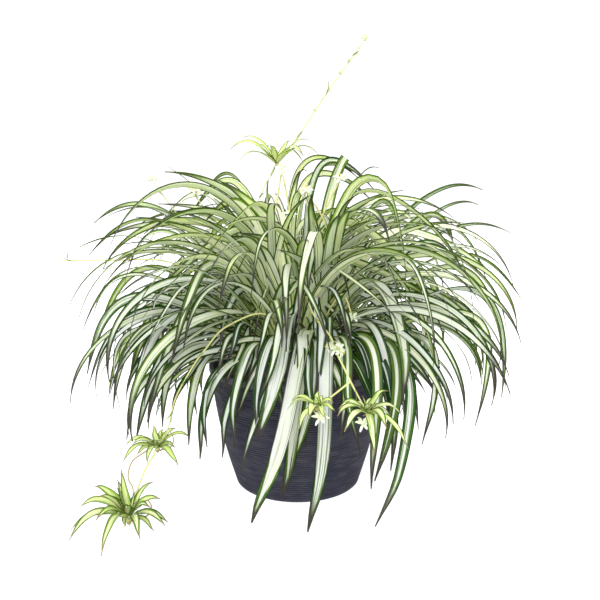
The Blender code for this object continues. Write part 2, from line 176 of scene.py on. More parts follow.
# More leaves that fill the plant out between those: the same four values
MORE_LEAVES = {
    "front": [
        (-75, (-86, 130, 230), (-99, 160, 37), 17),
        (-81, (-87, 126, 238), (-86, 150, 103), 14),
        (-98, (-98, 131, 214), (-115, 176, 73), 12),
        (-117, (-116, 140, 226), (-117, 174, 104), 15),
        (-139, (-139, 106, 252), (-133, 137, 197), 11),
        (-54, (-54, 161, 233), (-63, 212, 66), 14),
        (-92, (-101, 118, 262), (-107, 160, 166), 13),
        (-70, (-76, 120, 262), (-79, 160, 176), 13),
        (-132, (-136, 150, 190), (-131, 176, 96), 14),
        (-95, (-100, 113, 238), (-118, 171, 135), 12),
        (-105, (-106, 125, 235), (-110, 165, 120), 13),
        (-80, (-82, 128, 232), (-80, 162, 125), 12),
        (-60, (-62, 140, 235), (-66, 180, 100), 12),
        (-32, (-42, 165, 225), (-60, 197, 67), 15),
        (-62, (-70, 138, 210), (-64, 160, 140), 12),
        (-94, (-95, 118, 240), (-97, 152, 146), 15),
        (-78, (-74, 120, 238), (-72, 154, 144), 14),
        (-72, (-80, 130, 228), (-93, 162, 63), 14),
    ],
    # Leaves in the dark pocket at the right front: their dark green and missing stripe are painted shade
    "shade": [
        (-38, (-50, 144, 205), (-46, 176, 128), 13),
        (-48, (-50, 150, 225), (-52, 188, 110), 12),
        (-30, (-42, 150, 216), (-38, 185, 118), 14),
        (-50, (-60, 140, 214), (-56, 166, 134), 13),
        (-57, (-58, 128, 240), (-57, 164, 146), 14),
        (-22, (-34, 156, 208), (-28, 190, 108), 14),
        (-45, (-54, 140, 236), (-48, 172, 150), 13),
        (-40, (-46, 146, 228), (-42, 182, 140), 13),
    ],
    "right": [
        (12, (12, 236, 317), (10, 336, 212), 11),
        (14, (14, 213, 374), (8, 297, 294), 12),
        (17, (17, 202, 383), (17, 298, 414), 10),
        (-11, (-11, 157, 347), (-8, 228, 332), 13),
        (10, (10, 114, 408), (4, 153, 347), 18),
        (10, (10, 178, 387), (7, 241, 346), 15),
        (38, (38, 33, 457), (27, 132, 436), 12),
        (22, (22, 78, 416), (26, 136, 469), 11),
    ],
    "left": [
        (144, (144, 103, 439), (152, 168, 427), 11),
        (180, (180, 183, 381), (-178, 306, 337), 12),
        (163, (163, 204, 396), (166, 331, 386), 11),
        (-172, (-172, 222, 313), (-174, 305, 226), 12),
        (-150, (-150, 177, 238), (-156, 242, 91), 13),
        (-152, (-152, 168, 216), (-154, 207, 110), 13),
        (-166, (-165, 222, 285), (-163, 300, 185), 14),
        (172, (173, 215, 318), (172, 318, 200), 13),
        (-158, (-160, 205, 250), (-164, 268, 130), 14),
        (168, (166, 200, 265), (170, 270, 150), 14),
        (-176, (-176, 190, 300), (-172, 262, 190), 14),
    ],
    "top": [
        (110, (90, 50, 450), (28, 105, 452), 12),
        (100, (80, 45, 438), (20, 118, 418), 12),
        (140, (150, 50, 400), (135, 60, 460), 11),
        (150, (148, 75, 400), (155, 118, 448), 12),
        (100, (100, 40, 420), (75, 60, 468), 12),
        (165, (160, 70, 395), (165, 112, 430), 12),
    ],
}

# Where it is known: how light a leaf's green margins are, how wide its pale stripe is, how late it
# narrows (TAPER_POWER is the usual value), its breadth as a share of the stated width, how many
# degrees it rolls along its length and how far it bows sideways before its tip, in metres
FINISH = {
    "front_01": (0.10, 1.40, 14, 1.05, 8, 0.010),
    "front_02": (0.05, 1.50, 9, 0.95, -10, 0.006),
    "front_03": (0.15, 1.45, 11, 1.20, 10, 0.012),
    "front_04": (0.10, 0.42, 6, 1.10, 0, 0.004),
    "front_05": (0.05, 0.65, 6, 1.05, -10, -0.006),
    "front_06": (0.10, 0.55, 6, 1.10, -25, -0.006),
    "front_07": (0.25, 0.52, 6, 1.10, -30, -0.004),
    "front_08": (0.35, 0.60, 5, 1.10, 0, 0.004),
    "more_front_01": (0.20, 0.95, 8, 1.15, 10, 0.006),
    "more_front_02": (0.15, 0.90, 8, 1.15, 0, 0.0),
    "right_01": (0.25, 0.85, 7, 1.20, 20, 0.008),
    "right_02": (0.05, 0.45, 6, 1.15, 25, 0.006),
    "right_03": (0.05, 0.40, 6, 1.10, 20, 0.008),
    "top_01": (0.25, 0.62, 7, 1.15, 70, 0),
    "top_02": (0.60, 0.95, 7, 1.00, 45, 0),
    "top_03": (0.50, 0.60, 6, 0.75, 0, 0),
    "top_06": (0.60, 1.00, 7, 1.10, 50, 0),
    "top_07": (0.40, 1.00, 7, 1.10, 30, 0),
}
# For the rest: the ranges of the first two by side, the breadth, and how far they may bow
USUAL_FINISH = {
    "front": ((0.0, 0.25), (0.05, 0.65)),
    # The shade group is painted shade: the darkest green with almost no stripe
    "shade": ((0.0, 0.1), (-0.3, 0.05)),
    "top": ((0.5, 0.9), (0.85, 1.15)),
    "other": ((0.0, 0.4), (0.4, 0.9)),
}
USUAL_BREADTH = 1.15
USUAL_BOW = 0.008
# How far they roll: the least, then a factor
USUAL_ROLL = {"left": (0.3, 1.0), "right": (0.3, 1.0), "top": (0.3, 1.5), "other": (-0.3, 0.5)}

# Leaves that fill the plant: how many, how far out they may hang in front, then ranges for their
# rise from level and how many degrees they bend over by the tip, for the length of the least and
# the most bent ones and their width in metres, for how light their green is and how wide their stripe
TIERS = {
    "curtain": (50, 0.158, (0, 40), (70, 125), (0.15, 0.23), (0.01, 0.015), (0.0, 0.3), (0.05, 0.6)),
    # The under tier's dark green and narrow stripes are painted shade low in the clump
    "under": (80, 0.15, (15, 60), (80, 140), (0.12, 0.2), (0.009, 0.014), (0.0, 0.15), (0.0, 0.35)),
    "skirt": (120, 0.152, (14, 42), (85, 130), (0.22, 0.31), (0.01, 0.016), (0.0, 0.4), (0.1, 0.7)),
    "arching": (150, 0.115, (38, 68), (110, 165), (0.32, 0.45), (0.01, 0.016), (0.0, 0.45), (0.35, 0.95)),
    # The heart tier's paler green and wide lime stripes are partly painted light against the shade inside
    # the clump
    "heart": (150, 0.115, (66, 89), (55, 175), (0.27, 0.5), (0.01, 0.018), (0.2, 0.8), (0.7, 1.05)),
}
SNAPPED_SHARE = 0.3  # share of the leaves in each tier that have a sharp bend
LEAVES_A_PIECE = 10
TRIES = 16  # how often a leaf that doesn't fit is shortened and raised
# Where the clump's growing points are, as (azimuth, reach); each is a small fountain of its own
GROWING_POINTS = [(-95, 36), (150, 34), (35, 36), (-160, 40), (-30, 38), (95, 40), (0, 0)]
GROWING_POINT_RADIUS = 0.013
# The outline that these leaves keep inside: its top, its reach high up and how it narrows lower down
TALLEST = 0.475
WIDEST_HIGH = 0.33
WIDEST_LOW = 0.20
NARROWING = 0.8
RIM_ROOM = 0.005  # how far they keep from the rim
# The place in front that is left to the leaves placed one by one: its azimuth, half its spread in
# degrees and its top
FRONT_LEAVES = -90
FRONT_SPREAD = 42
FRONT_TOP = 0.245

# Runners and stalks, as a radius in metres and points (x, y, z); a first point with no height
# starts on the crown, and the ends named in STEM_ENDS stop at the core of a rosette or flower
RUNNER = 0.0016
STALK = 0.0012
STEM_STOP = 0.0008  # how far from the core they stop
STEM_NODES = 0.055  # from one node to the next
STEMS = {
    "flower_stalk_lower": (STALK, [(-4, 0, None), (-62, 2, 300), (-70, -4, 370), (-52, -2, 430)]),
    "flower_stalk_upper": (STALK, [(4, 0, 514), (36, 0, 562), (66, 0, 603)]),
    "left_flower_stalk_a": (STALK, [(-46, 20, None), (-105, 28, 285), (-147, 26, 352), (-175, 22, 392)]),
    "left_flower_stalk_b": (STALK, [(-36, 34, None), (-80, 36, 315), (-115, 30, 378), (-137, 24, 405)]),
    "bare_runner": (RUNNER, [
        (-48, 12, None), (-120, 16, 285), (-190, 12, 328), (-270, 5, 332), (-354, 0, 331),
    ]),
    "hanging_runner": (RUNNER, [
        (-20, -46, None), (-40, -80, 262), (-93, -100, 252), (-122, -110, 222), (-141, -115, 195),
        (-161, -118, 158), (-172, -115, 118),
    ]),
    "hanging_runner_end": (RUNNER, [(-205, -118, 58), (-213, -130, 35), (-217, -140, 19)]),
    "front_runner": (RUNNER, [
        (8, -20, None), (11, -55, 272), (12, -90, 290), (15, -112, 284), (24, -130, 267), (41, -151, 249),
    ]),
    "front_runner_end": (RUNNER, [(58, -172, 212), (66, -181, 196), (75, -191, 180)]),
    "front_runner_fork": (RUNNER, [(63.5, -181.5, 198.5), (46, -190, 187), (33, -196, 179)]),
}
STEM_ENDS = {
    "flower_stalk_lower": (None, "stalk_tuft"),
    "flower_stalk_upper": ("stalk_tuft", "top_flower"),
    "left_flower_stalk_a": (None, "left_flower_a"),
    "left_flower_stalk_b": (None, "left_flower_b"),
    "hanging_runner": (None, "plantlet_upper"),
    "hanging_runner_end": ("plantlet_upper", "plantlet_lower"),
    "front_runner": (None, "front_flower"),
    "front_runner_end": ("front_flower", "plantlet_right"),
    "front_runner_fork": (None, "plantlet_left"),
}
# Old stalks inside the plant, which the frame leaves out, and their radius
OLD_STALK = 0.0017
OLD_STALKS = [
    [(-14, -10, None), (-20, -40, 270), (-30, -50, 345), (-10, -52, 398)],
    [(10, 4, None), (0, -30, 300), (22, -50, 370), (58, -52, 446)],
    [(-4, 12, None), (-16, -20, 330), (-12, -24, 400), (-22, -20, 462)],
    [(20, -14, None), (36, -60, 250), (60, -80, 292), (74, -98, 262)],
    [(-30, -20, None), (-50, -46, 290), (-36, -60, 370), (-22, -56, 452)],
    [(30, 0, None), (50, -40, 300), (40, -58, 380), (12, -60, 430)],
]
# Wiry old roots round the lower plantlets, then the dry end of the bare runner
DRY_ROOT = 0.0012
DRY_ROOTS = [
    [
        (-196, -108, 86), (-207, -112, 81), (-222, -118, 70), (-226, -124, 51), (-217, -134, 38),
        (-217, -150, 14),
    ],
    [
        (-212, -152, 8), (-201, -156, 10), (-190, -158, 18), (-188, -156, 27), (-195, -152, 33),
        (-207, -150, 24),
    ],
    [(-186, -104, 82), (-174, -102, 84), (-168, -104, 96), (-172, -108, 110)],
    [(-338.5, 0, 335), (-339, 0, 338.5), (-338.2, 0, 343)],
]
# How low the runner is kept in view, and how wide a gap the leaves leave in front of it
VIEW_FROM = 0.18
VIEW_GAP = 0.008
# Where buds sit along the upper flower stalk, as shares of its length
BUD_PLACES = (0.40, 0.56, 0.70, 0.80, 0.88, 0.94)

# Rosettes: centre, core radius, each blade's azimuth, rise in degrees, length and width, and
# further blades that the frame leaves out
BLADE_DROOP = 0.55
BLADE_FOOT = 0.3
BLADE_MIDDLE = 0.55
PLANTLET_BREADTH = 1.5  # of its blades, as a share of the stated width
ROSETTES = {
    "stalk_tuft": (
        (-30, 0, 470),
        4,
        [
            (180, 40, 88, 8), (150, 52, 60, 7), (58, 34, 80, 7), (-50, 34, 70, 7), (-110, 50, 50, 7),
            (100, 45, 55, 7),
        ],
        [(170, 52, 82, 8), (186, 30, 64, 7), (8, 48, 80, 8), (-12, 36, 76, 8), (20, 66, 50, 7)],
    ),
    "plantlet_upper": (
        (-190, -106, 84),
        5,
        [
            (12, 38, 56, 7), (178, 32, 50, 7), (210, 20, 50, 7), (130, 74, 36, 7), (-95, 25, 46, 7),
            (85, 28, 48, 7),
        ],
        [(25, 55, 46, 7), (-150, 42, 44, 7), (-40, 12, 40, 7)],
    ),
    "plantlet_lower": (
        (-219, -152, 6.2),
        6,
        [
            (-138, 29, 88, 9), (176, 36, 80, 9), (-95, 29, 98, 9), (-62, 30, 66, 9), (8, 50, 62, 9),
            (150, 70, 62, 9), (-175, 62, 52, 8),
        ],
        [
            (-165, 20, 74, 9), (-120, 44, 70, 9), (-20, 28, 58, 8), (35, 60, 70, 8), (120, 55, 60, 8),
            (-75, 52, 64, 8), (-150, 58, 70, 9), (165, 52, 80, 9), (-30, 50, 62, 8), (140, 80, 72, 8),
        ],
    ),
    "plantlet_right": (
        (83, -200, 166),
        4,
        [
            (195, 38, 44, 7), (-140, 10, 38, 7), (20, 55, 46, 7), (-85, -15, 44, 7), (-25, -10, 50, 7),
            (70, 35, 34, 7),
        ],
        [(-160, 30, 44, 8), (-60, 20, 40, 8), (5, 20, 46, 8)],
    ),
    "plantlet_left": (
        (24, -200, 172),
        4,
        [(175, 38, 38, 6), (-140, -5, 30, 6), (-75, 20, 28, 6), (95, 62, 26, 6)],
        [(160, 20, 40, 8), (-110, 25, 34, 8), (-30, 45, 30, 7)],
    ),
}
# Ranges of how light their margins are and how wide the pale middle, then the edge line's width
BLADE_FINISH = {
    "stalk_tuft": ((0.6, 1.0), (0.6, 1.0), 0.0006),
    "plantlet_upper": ((0.5, 0.9), (0.3, 0.7), 0.0008),
    "plantlet_lower": ((0.2, 0.8), (0.1, 0.6), 0.0010),
    "plantlet_left": ((0.6, 1.0), (0.5, 0.9), 0.0007),
    "plantlet_right": ((0.2, 0.7), (0.4, 0.8), 0.0009),
}
YOUNG_BLADES = {"stalk_tuft": 0, "plantlet_lower": 14, "plantlet_upper": 9}

# Flowers: centre, how many are open and how many are buds
FLOWERS = {
    "top_flower": ((94, 0, 641), 1, 6),
    "left_flower_a": ((-215, 20, 448), 1, 5),
    "left_flower_b": ((-156, 20, 433), 2, 5),
    "front_flower": ((47, -160, 233), 4, 6),
}
FLOWER_CORE = 3  # radius of the core that a stem stops at
# Where a small flower hangs from a front plantlet
PLANTLET_FLOWERS = {"plantlet_right": (77, -212, 156), "plantlet_left": (27, -211, 163)}


# ---------------------------------------------------------------- places and lines


def place(azimuth, reach, height):
    """A point given the way that this file gives places."""
    turn = math.radians(azimuth)
    return Vector((reach * math.cos(turn), reach * math.sin(turn), height))


def around(reach, step, steps):
    """The x and y of a step round a level ring."""
    turn = math.tau * step / steps
    return reach * math.cos(turn), reach * math.sin(turn)


def side_radius(height):
    """Outer radius of the pot's side, under its band."""
    up = height / POT_HEIGHT
    straight = BASE_RADIUS + (RIM_RADIUS - BAND_STEP - BASE_RADIUS) * up
    return straight + SIDE_BULGE * math.sin(math.pi * up)


def crown_height(reach):
    """Height of the crown's top at this reach."""
    across = min(reach / CROWN_RADIUS, 1)
    return CROWN_BASE + CROWN_HEIGHT * math.sqrt(1 - across**2)


def on_crown(x, y):
    """Where a stem starts on the crown."""
    return Vector((x, y, crown_height(math.hypot(x, y)) + SEAT))


def table_place(azimuth, reach, height):
    """A place of the tables, which are in millimetres."""
    return place(azimuth, reach / 1000, height / 1000)


def table_point(x, y, z):
    """A point of the tables, which are in millimetres; with no height it is on the crown."""
    return on_crown(x / 1000, y / 1000) if z is None else Vector((x / 1000, y / 1000, z / 1000))


def leaf_foot(azimuth, steepness):
    """Where a leaf starts on the crown: the steeper it is, the nearer to the middle."""
    reach = FLAT_FOOT + (STEEP_FOOT - FLAT_FOOT) * steepness
    return place(azimuth, reach, crown_height(reach) + SEAT)


def leaf_line(foot, middle, tip, count):
    """Points, directions and shares of the length of a leaf that bends over near its middle."""
    ends = (4 - 3 * BEND) / 8
    knee = (middle - (foot + tip) * ends) / (0.75 * BEND)
    out, back = foot.lerp(knee, BEND), tip.lerp(knee, BEND)
    route = []
    for i in range(count):
        t = i / (count - 1)
        s = 1 - t
        route.append(foot * s**3 + out * (3 * s * s * t) + back * (3 * s * t * t) + tip * t**3)
    return with_directions(route)


def crown_leaf_line(foot_azimuth, middle, tip, count):
    """The line of a leaf of the tables, which grows from the crown."""
    steepness = math.sin(math.atan2(middle[2] / 1000 - SOIL_TOP, middle[1] / 1000))
    return leaf_line(leaf_foot(foot_azimuth, steepness), table_place(*middle), table_place(*tip), count)


def smooth_route(points, count):
    """Points along a smooth curve through the given ones, evenly spread between them."""
    ends = [points[0] * 2 - points[1]] + points + [points[-1] * 2 - points[-2]]
    route = []
    for i in range(count):
        whole, t = divmod(i * (len(points) - 1) / (count - 1), 1)
        k = min(int(whole), len(points) - 2)
        t = t + whole - k
        a, b, c, d = ends[k : k + 4]
        square = 2 * a - 5 * b + 4 * c - d
        cube = 3 * b - a - 3 * c + d
        route.append(0.5 * (2 * b + (c - a) * t + square * t**2 + cube * t**3))
    return route


def with_directions(route):
    """A route's points with their directions and their shares of its length."""
    last = len(route) - 1
    lengths = [0.0]
    for near, far in zip(route, route[1:]):
        lengths.append(lengths[-1] + (far - near).length)
    line = []
    for i, point in enumerate(route):
        along = route[min(i + 1, last)] - route[max(i - 1, 0)]
        line.append((point, along.normalized(), lengths[i] / lengths[-1]))
    return line


def straight(start, end, steps):
    """The line from one point straight to another."""
    return with_directions([start.lerp(end, i / steps) for i in range(steps + 1)])


def smooth(low, high, value):
    """0 below low, 1 above high, with a soft step between."""
    t = min(max((value - low) / (high - low), 0), 1)
    return t * t * (3 - 2 * t)


def leaf_half(along, width, power=TAPER_POWER):
    """Half a leaf's width: narrow at the foot, full by a third of the way, then to a fine point."""
    start = FOOT_SHARE + (1 - FOOT_SHARE) * smooth(0, WIDE_FROM, along)
    return 0.5 * width * start * max((1 - along**power) ** POINT_POWER, TIP_SHARE)


def short_half(foot, width, power=TAPER_POWER):
    """Half widths of a blade whose foot is already this share of the way along a leaf's outline."""
    return lambda t: leaf_half(foot + (1 - foot) * t, width, power)


def petal_half(along, width):
    """Half a petal's width: an ellipse with a narrow foot."""
    return 0.5 * width * (0.16 + 0.84 * math.sin(math.pi * min(along * 0.93 + 0.03, 1)) ** 0.8)


# ---------------------------------------------------------------- meshes


def add_object(name, data):
    """A new object in the scene."""
    made = bpy.data.objects.new(name, data)
    bpy.context.scene.collection.objects.link(made)
    return made


def piece(name, mesh, material, slot, *nodes):
    """A named object that rides with the plant and stands for these nodes of the frame."""
    made = add_object(name, mesh)
    mesh.materials.append(material)
    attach(made, BODY)
    if nodes:
        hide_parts(*nodes)


class Shape:
    """Points and faces gathered for one piece.

    Each point has three traits that its material reads. A blade's corners have their place on the
    blade, across and along, and a second layout that lies flat without overlaps for baking.
    """

    # The flat layout: where its strips start and how long they are, how much of its band a strip
    # leaves clear and fills, and the place and half size of the face at a blade's end
    STRIP = (0.004, 0.98)
    BAND = (0.06, 0.88)
    END = (0.993, 0.004, 0.3)

    def __init__(self, margin=MARGIN):
        self.points, self.traits, self.margins, self.faces = [], [], [], []
        self.places, self.strips = [], []
        self.margin = margin
        self.blades = 0

    def add(self, point, traits=(0.0, 0.0, 0.0), margin=0.0):
        """Adds a point."""
        self.points.append(point)
        self.traits.append(traits)
        self.margins.append(margin)

    def ring(self, reach, sides, height_at):
        """Adds a level ring of points, at the height that a function gives for each."""
        for i in range(sides):
            x, y = around(reach, i, sides)
            self.add((x, y, height_at(x, y)))

    def walls(self, first, rows, sides, outward=True, closed=False):
        """Adds faces between rings of points; a closed shape's last ring meets its first."""
        for row in range(rows if closed else rows - 1):
            low, high = first + row * sides, first + (row + 1) % rows * sides
            for s in range(sides):
                n = (s + 1) % sides
                down = (low + s, high + s, high + n, low + n)
                self.faces.append((low + s, low + n, high + n, high + s) if outward else down)

    def barrel(self, first, rows, sides):
        """Adds the walls and both ends over rings of points."""
        self.walls(first, rows, sides)
        self.faces.append([first + s for s in reversed(range(sides))])
        self.faces.append([first + (rows - 1) * sides + s for s in range(sides)])

    def dome(self, rows, sides):
        """Adds the faces over a middle point and the rings of points round it, and the underside."""
        for s in range(sides):
            self.faces.append((0, 1 + s, 1 + (s + 1) % sides))
        self.walls(1, rows, sides, outward=False)
        self.faces.append([1 + (rows - 1) * sides + s for s in reversed(range(sides))])

    def blade(self, line, across, half_at, form, traits, draw, wander=0.0, bow=0.0):
        """Adds a closed leaf-like blade along a line; form is thickness, fold, ripple and roll."""
        thickness, fold, ripple, roll = form
        first = len(self.points)
        rows = len(line)
        left, right = draw.uniform(0, math.tau), draw.uniform(0, math.tau)
        waves = draw.uniform(1.5, 3.0) * math.tau
        for point, direction, t in line:
            across = (across - direction * across.dot(direction)).normalized()
            turned = Matrix.Rotation(roll * smooth(0.05, 0.75, t), 3, direction) @ across
            up = direction.cross(turned)
            stray = noise.noise(Vector((left, 2.3 * t, right))) * smooth(0.25, 1, t)
            point = point + across * (wander * stray + bow * smooth(0.3, 0.8, t) * smooth(1.02, 0.8, t))
            half = half_at(t)
            opened = fold * (1 - FOLD_OPENS * t)
            sway = {-1: math.sin(waves * t + left), 1: math.sin(waves * 1.1 * t + right)}
            for i, u in enumerate(TOP_SIDE + UNDER_SIDE):
                rise = half * opened * abs(u) ** 1.35
                if u:
                    rise += half * ripple * sway[math.copysign(1, u)] * u * u * smooth(0, 0.2, t)
                lens = thickness * (1 - 0.55 * t) * (1 - 0.85 * u * u) / 2
                rise += lens if i <= HALF_RING else -lens
                spot = point + turned * (half * u) + up * rise
                self.add(spot, traits, min(self.margin / half, MOST_MARGIN))
        self.walls(first, rows, RING, outward=False)
        for row in range(rows - 1):
            low, high = line[row][2], line[row + 1][2]
            for s in range(RING):
                x, y = self.across_place(s), self.across_place(s + 1)
                self.places.append(((x, low), (x, high), (y, high), (y, low)))
                self.strips.append((self.blades, row, s, rows))
        for name, start, order in (("foot", first, 1), ("tip", first + (rows - 1) * RING, -1)):
            ring = [start + s for s in range(RING)][::order]
            self.faces.append(ring)
            end = 0.0 if name == "foot" else 1.0
            self.places.append([(self.across_place(i - start), end) for i in ring])
            self.strips.append((self.blades, name, order, rows))
        self.blades += 1

    @staticmethod
    def across_place(s):
        """How far round a blade's ring this point is: 0 to 1 on its upper face, 1 to 2 below."""
        if s < HALF_RING:
            return (TOP_SIDE[s] + 1) / 2
        return 1 + (1 - (1, *UNDER_SIDE, -1)[s - HALF_RING]) / 2

    def tube(self, line, radius_at, traits_at, sides=7):
        """Adds a closed round tube along a line; its radius and traits may be fixed or functions."""
        first = len(self.points)
        across = line[0][1].orthogonal().normalized()
        for point, direction, t in line:
            across = (across - direction * across.dot(direction)).normalized()
            up = direction.cross(across)
            radius = radius_at(t) if callable(radius_at) else radius_at
            traits = traits_at(t) if callable(traits_at) else traits_at
            for i in range(sides):
                x, y = around(1, i, sides)
                self.add(point + (across * x + up * y) * radius, traits)
        self.barrel(first, len(line), sides)

    def bake_places(self):
        """Each corner's spot in the flat layout: every blade's two faces, as level strips."""
        runs = 3 if self.blades == 1 else 2 if self.blades < 8 else 1
        bands = self.blades * 2 * runs
        (clear, full), (edge, wide), (end, half_x, half_y) = self.STRIP, self.BAND, self.END
        spots = []
        for blade, row, s, rows in self.strips:
            if row in ("foot", "tip"):
                middle = ((blade * 2 + (row == "tip")) * runs + 0.5) / bands
                turns = [around(1, i, RING) for i in range(RING)]
                spots.append([(end + half_x * x, middle + half_y / bands * y) for x, y in turns])
                continue
            length = -(-(rows - 1) // runs)
            side, place_across = divmod(s, HALF_RING)
            run, start = divmod(row, length)
            band = (blade * 2 + side) * runs + run
            low, high = (clear + full * (start + i) / length for i in (0, 1))
            near, far = ((band + edge + wide * (place_across + i) / HALF_RING) / bands for i in (0, 1))
            spots.append(((low, near), (high, near), (high, far), (low, far)))
        return spots

    def mesh(self, name, sharp):
        """The gathered shape as a mesh, shaded smooth with sharp edges past an angle in degrees."""
        made = bpy.data.meshes.new(name)
        made.from_pydata(self.points, [], self.faces)
        held = made.attributes.new("traits", "FLOAT_VECTOR", "POINT")
        held.data.foreach_set("vector", [value for trait in self.traits for value in trait])
        if self.blades:
            held = made.attributes.new("margin", "FLOAT", "POINT")
            held.data.foreach_set("value", self.margins)
        if self.blades and len(self.strips) == len(self.faces):
            for label, corners in (("Blade", self.places), ("OFBake", self.bake_places())):
                layer = made.uv_layers.new(name=label)
                layer.data.foreach_set("uv", [v for face in corners for corner in face for v in corner])
        made.shade_smooth()
        made.set_sharp_from_angle(angle=math.radians(sharp))
        return made

    def piece(self, name, material, slot, *nodes, sharp=40):
        """Makes the gathered shape a piece."""
        piece(name, self.mesh(name, sharp), material, slot, *nodes)


# ---------------------------------------------------------------- shader nodes


class Wire:
    """A value in a node tree; sums written with it become maths nodes."""

    def __init__(self, tree, socket):
        self.tree = tree
        self.socket = socket

    def maths(self, operation, *values):
        """The result of a maths node."""
        return Node(self.tree, "ShaderNodeMath", dict(enumerate(values)), operation=operation)[0]

    def __add__(self, value):
        return self.maths("ADD", self, value)

    def __sub__(self, value):
        return self.maths("SUBTRACT", self, value)

    def __rsub__(self, value):
        return self.maths("SUBTRACT", value, self)

    def __mul__(self, value):
        return self.maths("MULTIPLY", self, value)

    def __truediv__(self, value):
        return self.maths("DIVIDE", self, value)

    def __rtruediv__(self, value):
        return self.maths("DIVIDE", value, self)

    def step(self, low, high):
        """0 at low to 1 at high, softly; low may be the larger."""
        inputs = {"Value": self, "From Min": low, "From Max": high}
        return Node(self.tree, "ShaderNodeMapRange", inputs, interpolation_type="SMOOTHSTEP")[0]

    def clamped(self):
        """The value kept from 0 to 1."""
        return Node(self.tree, "ShaderNodeClamp", {0: self})[0]

    def blend(self, low, high):
        """Two colours mixed by this factor."""
        return Node(self.tree, "ShaderNodeMix", {0: self, 6: low, 7: high}, data_type="RGBA")[2]

    def split(self):
        """The three values of a vector."""
        parts = Node(self.tree, "ShaderNodeSeparateXYZ", {0: self})
        return [parts[i] for i in range(3)]

    def noise(self, scale, detail=3.0, roughness=0.55):
        """A noise pattern's value at this place, about 0 to 1."""
        inputs = {"Vector": self, "Scale": scale, "Detail": detail, "Roughness": roughness}
        return Node(self.tree, "ShaderNodeTexNoise", inputs)[0]

    def bump(self, strength, depth):
        """A normal from this height pattern; depth is in metres."""
        inputs = {"Height": self, "Strength": strength, "Distance": depth}
        return Node(self.tree, "ShaderNodeBump", inputs)[0]


class Node:
    """A new node with its settings and inputs; its outputs are read from it as wires."""

    def __init__(self, tree, kind, inputs=None, **settings):
        self.tree = tree
        self.made = tree.nodes.new(kind)
        for name, value in settings.items():
            setattr(self.made, name, value)
        for name, value in (inputs or {}).items():
            feed(tree, self.made.inputs[name], value)

    def __getitem__(self, output):
        return Wire(self.tree, self.made.outputs[output])


def feed(tree, socket, value):
    """Links or sets a socket."""
    if isinstance(value, Wire):
        tree.links.new(value.socket, socket)
    elif socket.type == "RGBA":
        socket.default_value = (*value, 1)
    else:
        socket.default_value = value


def node_group(name, inputs, build):
    """The shader node group of this name; the first time, build gives its outputs."""
    tree = bpy.data.node_groups.get(name)
    if tree:
        return tree
    tree = bpy.data.node_groups.new(name, "ShaderNodeTree")
    for label, value in inputs.items():
        number = isinstance(value, float)
        kind = "NodeSocketFloat" if number else "NodeSocketColor"
        socket = tree.interface.new_socket(label, in_out="INPUT", socket_type=kind)
        socket.default_value = value if number else (*value, 1)
    outputs = build(tree, Node(tree, "NodeGroupInput"))
    for label in outputs:
        kind = "NodeSocketColor" if label == "Colour" else "NodeSocketFloat"
        tree.interface.new_socket(label, in_out="OUTPUT", socket_type=kind)
    Node(tree, "NodeGroupOutput", outputs)
    return tree


def variegated_blade():
    """The striped skin of a blade: green margins, a streaked cream middle and a fading tip."""
    values = {"Across": 0.5, "Along": 0.5, "Seed": 0.0, "Lightness": 0.5, "Stripe": 0.5, "Margin": 0.15}
    values.update({label.capitalize(): (0.0, 0.0, 0.0) for label in BLADE_COLOURS})

    def build(tree, given):
        along, seed, light, margin = given["Along"], given["Seed"], given["Lightness"], given["Margin"]

        def grain(fineness, *values):
            inputs = {0: face * fineness + seed * 60.0, 1: along * 1.6, 2: seed}
            return Node(tree, "ShaderNodeCombineXYZ", inputs)[0].noise(1.0, *values)

        under = given["Across"].step(0.98, 1.02)
        face = given["Across"].maths("FRACT", given["Across"])
        off = face.maths("ABSOLUTE", face * 2.0 - 1.0)
        streaks, threads = grain(5.0, 2.0), grain(7.0, 3.0, 0.6)
        half = (given["Stripe"] * 0.66 + 0.22) * along.step(1.12, 0.55)
        lines = threads.step(0.53, 0.59) * 0.75 * off.step(0.02, 0.2)
        middle = (off - ((streaks - 0.5) * 0.55 + half)).step(0.05, -0.05) * (1.0 - lines)
        green = ((threads - 0.5) * 0.9 + light).clamped().blend(given["Dark"], given["Pale"])
        skin = middle.blend(green, light.blend(given["Cream"], given["Lime"]))
        # Towards the foot the skin turns yellow-green: partly the leaf's own base colour, partly painted
        # light bounced between the leaves.
        skin = (along.step(0.50, 0.04) * 0.6).blend(skin, given["Foot"])
        rim = ((1.0 - off) / margin).step(1.35, 0.65) * 0.95
        skin = rim.blend(skin, given["Outline"])
        skin = (along.step(0.78, 0.95) * margin.step(0.12, 0.4)).blend(skin, given["Tip"])
        return {
            "Colour": (under * 0.12).blend(skin, given["Pale"]),
            "Height": threads * 0.6 - off.step(0.12, 0.0) * 0.5,
            "Roughness": under * 0.14 + (streaks * 0.18 + 0.36),
            "Flesh": 1.0 - rim,
        }

    return node_group("Variegated blade", values, build)


def mottled(tree, base, spot, patch_size, grain_size, amount):
    """Uneven colour and a fine bumpy height, for plastic, earth, stems and petals."""

    def build(tree, given):
        where = Node(tree, "ShaderNodeTexCoord")["Object"]
        patches = where.noise(1.0 / given["Patch size"], 4.0)
        grain = where.noise(1.0 / given["Grain size"], 2.0)
        spread = patches.step(0.38, 0.66)
        both = ((grain - 0.5) * 0.5 + spread).clamped() * given["Amount"]
        return {
            "Colour": both.blend(given["Base"], given["Spot"]),
            "Height": grain * 0.6 + patches * 0.4,
            "Patches": spread,
        }

    grey = (0.5, 0.5, 0.5)
    values = {"Base": grey, "Spot": grey, "Patch size": 0.01, "Grain size": 0.0008, "Amount": 0.5}
    group = node_group("Mottled skin", values, build)
    given = dict(zip(values, (base, spot, patch_size, grain_size, amount)))
    return Node(tree, "ShaderNodeGroup", given, node_tree=group)


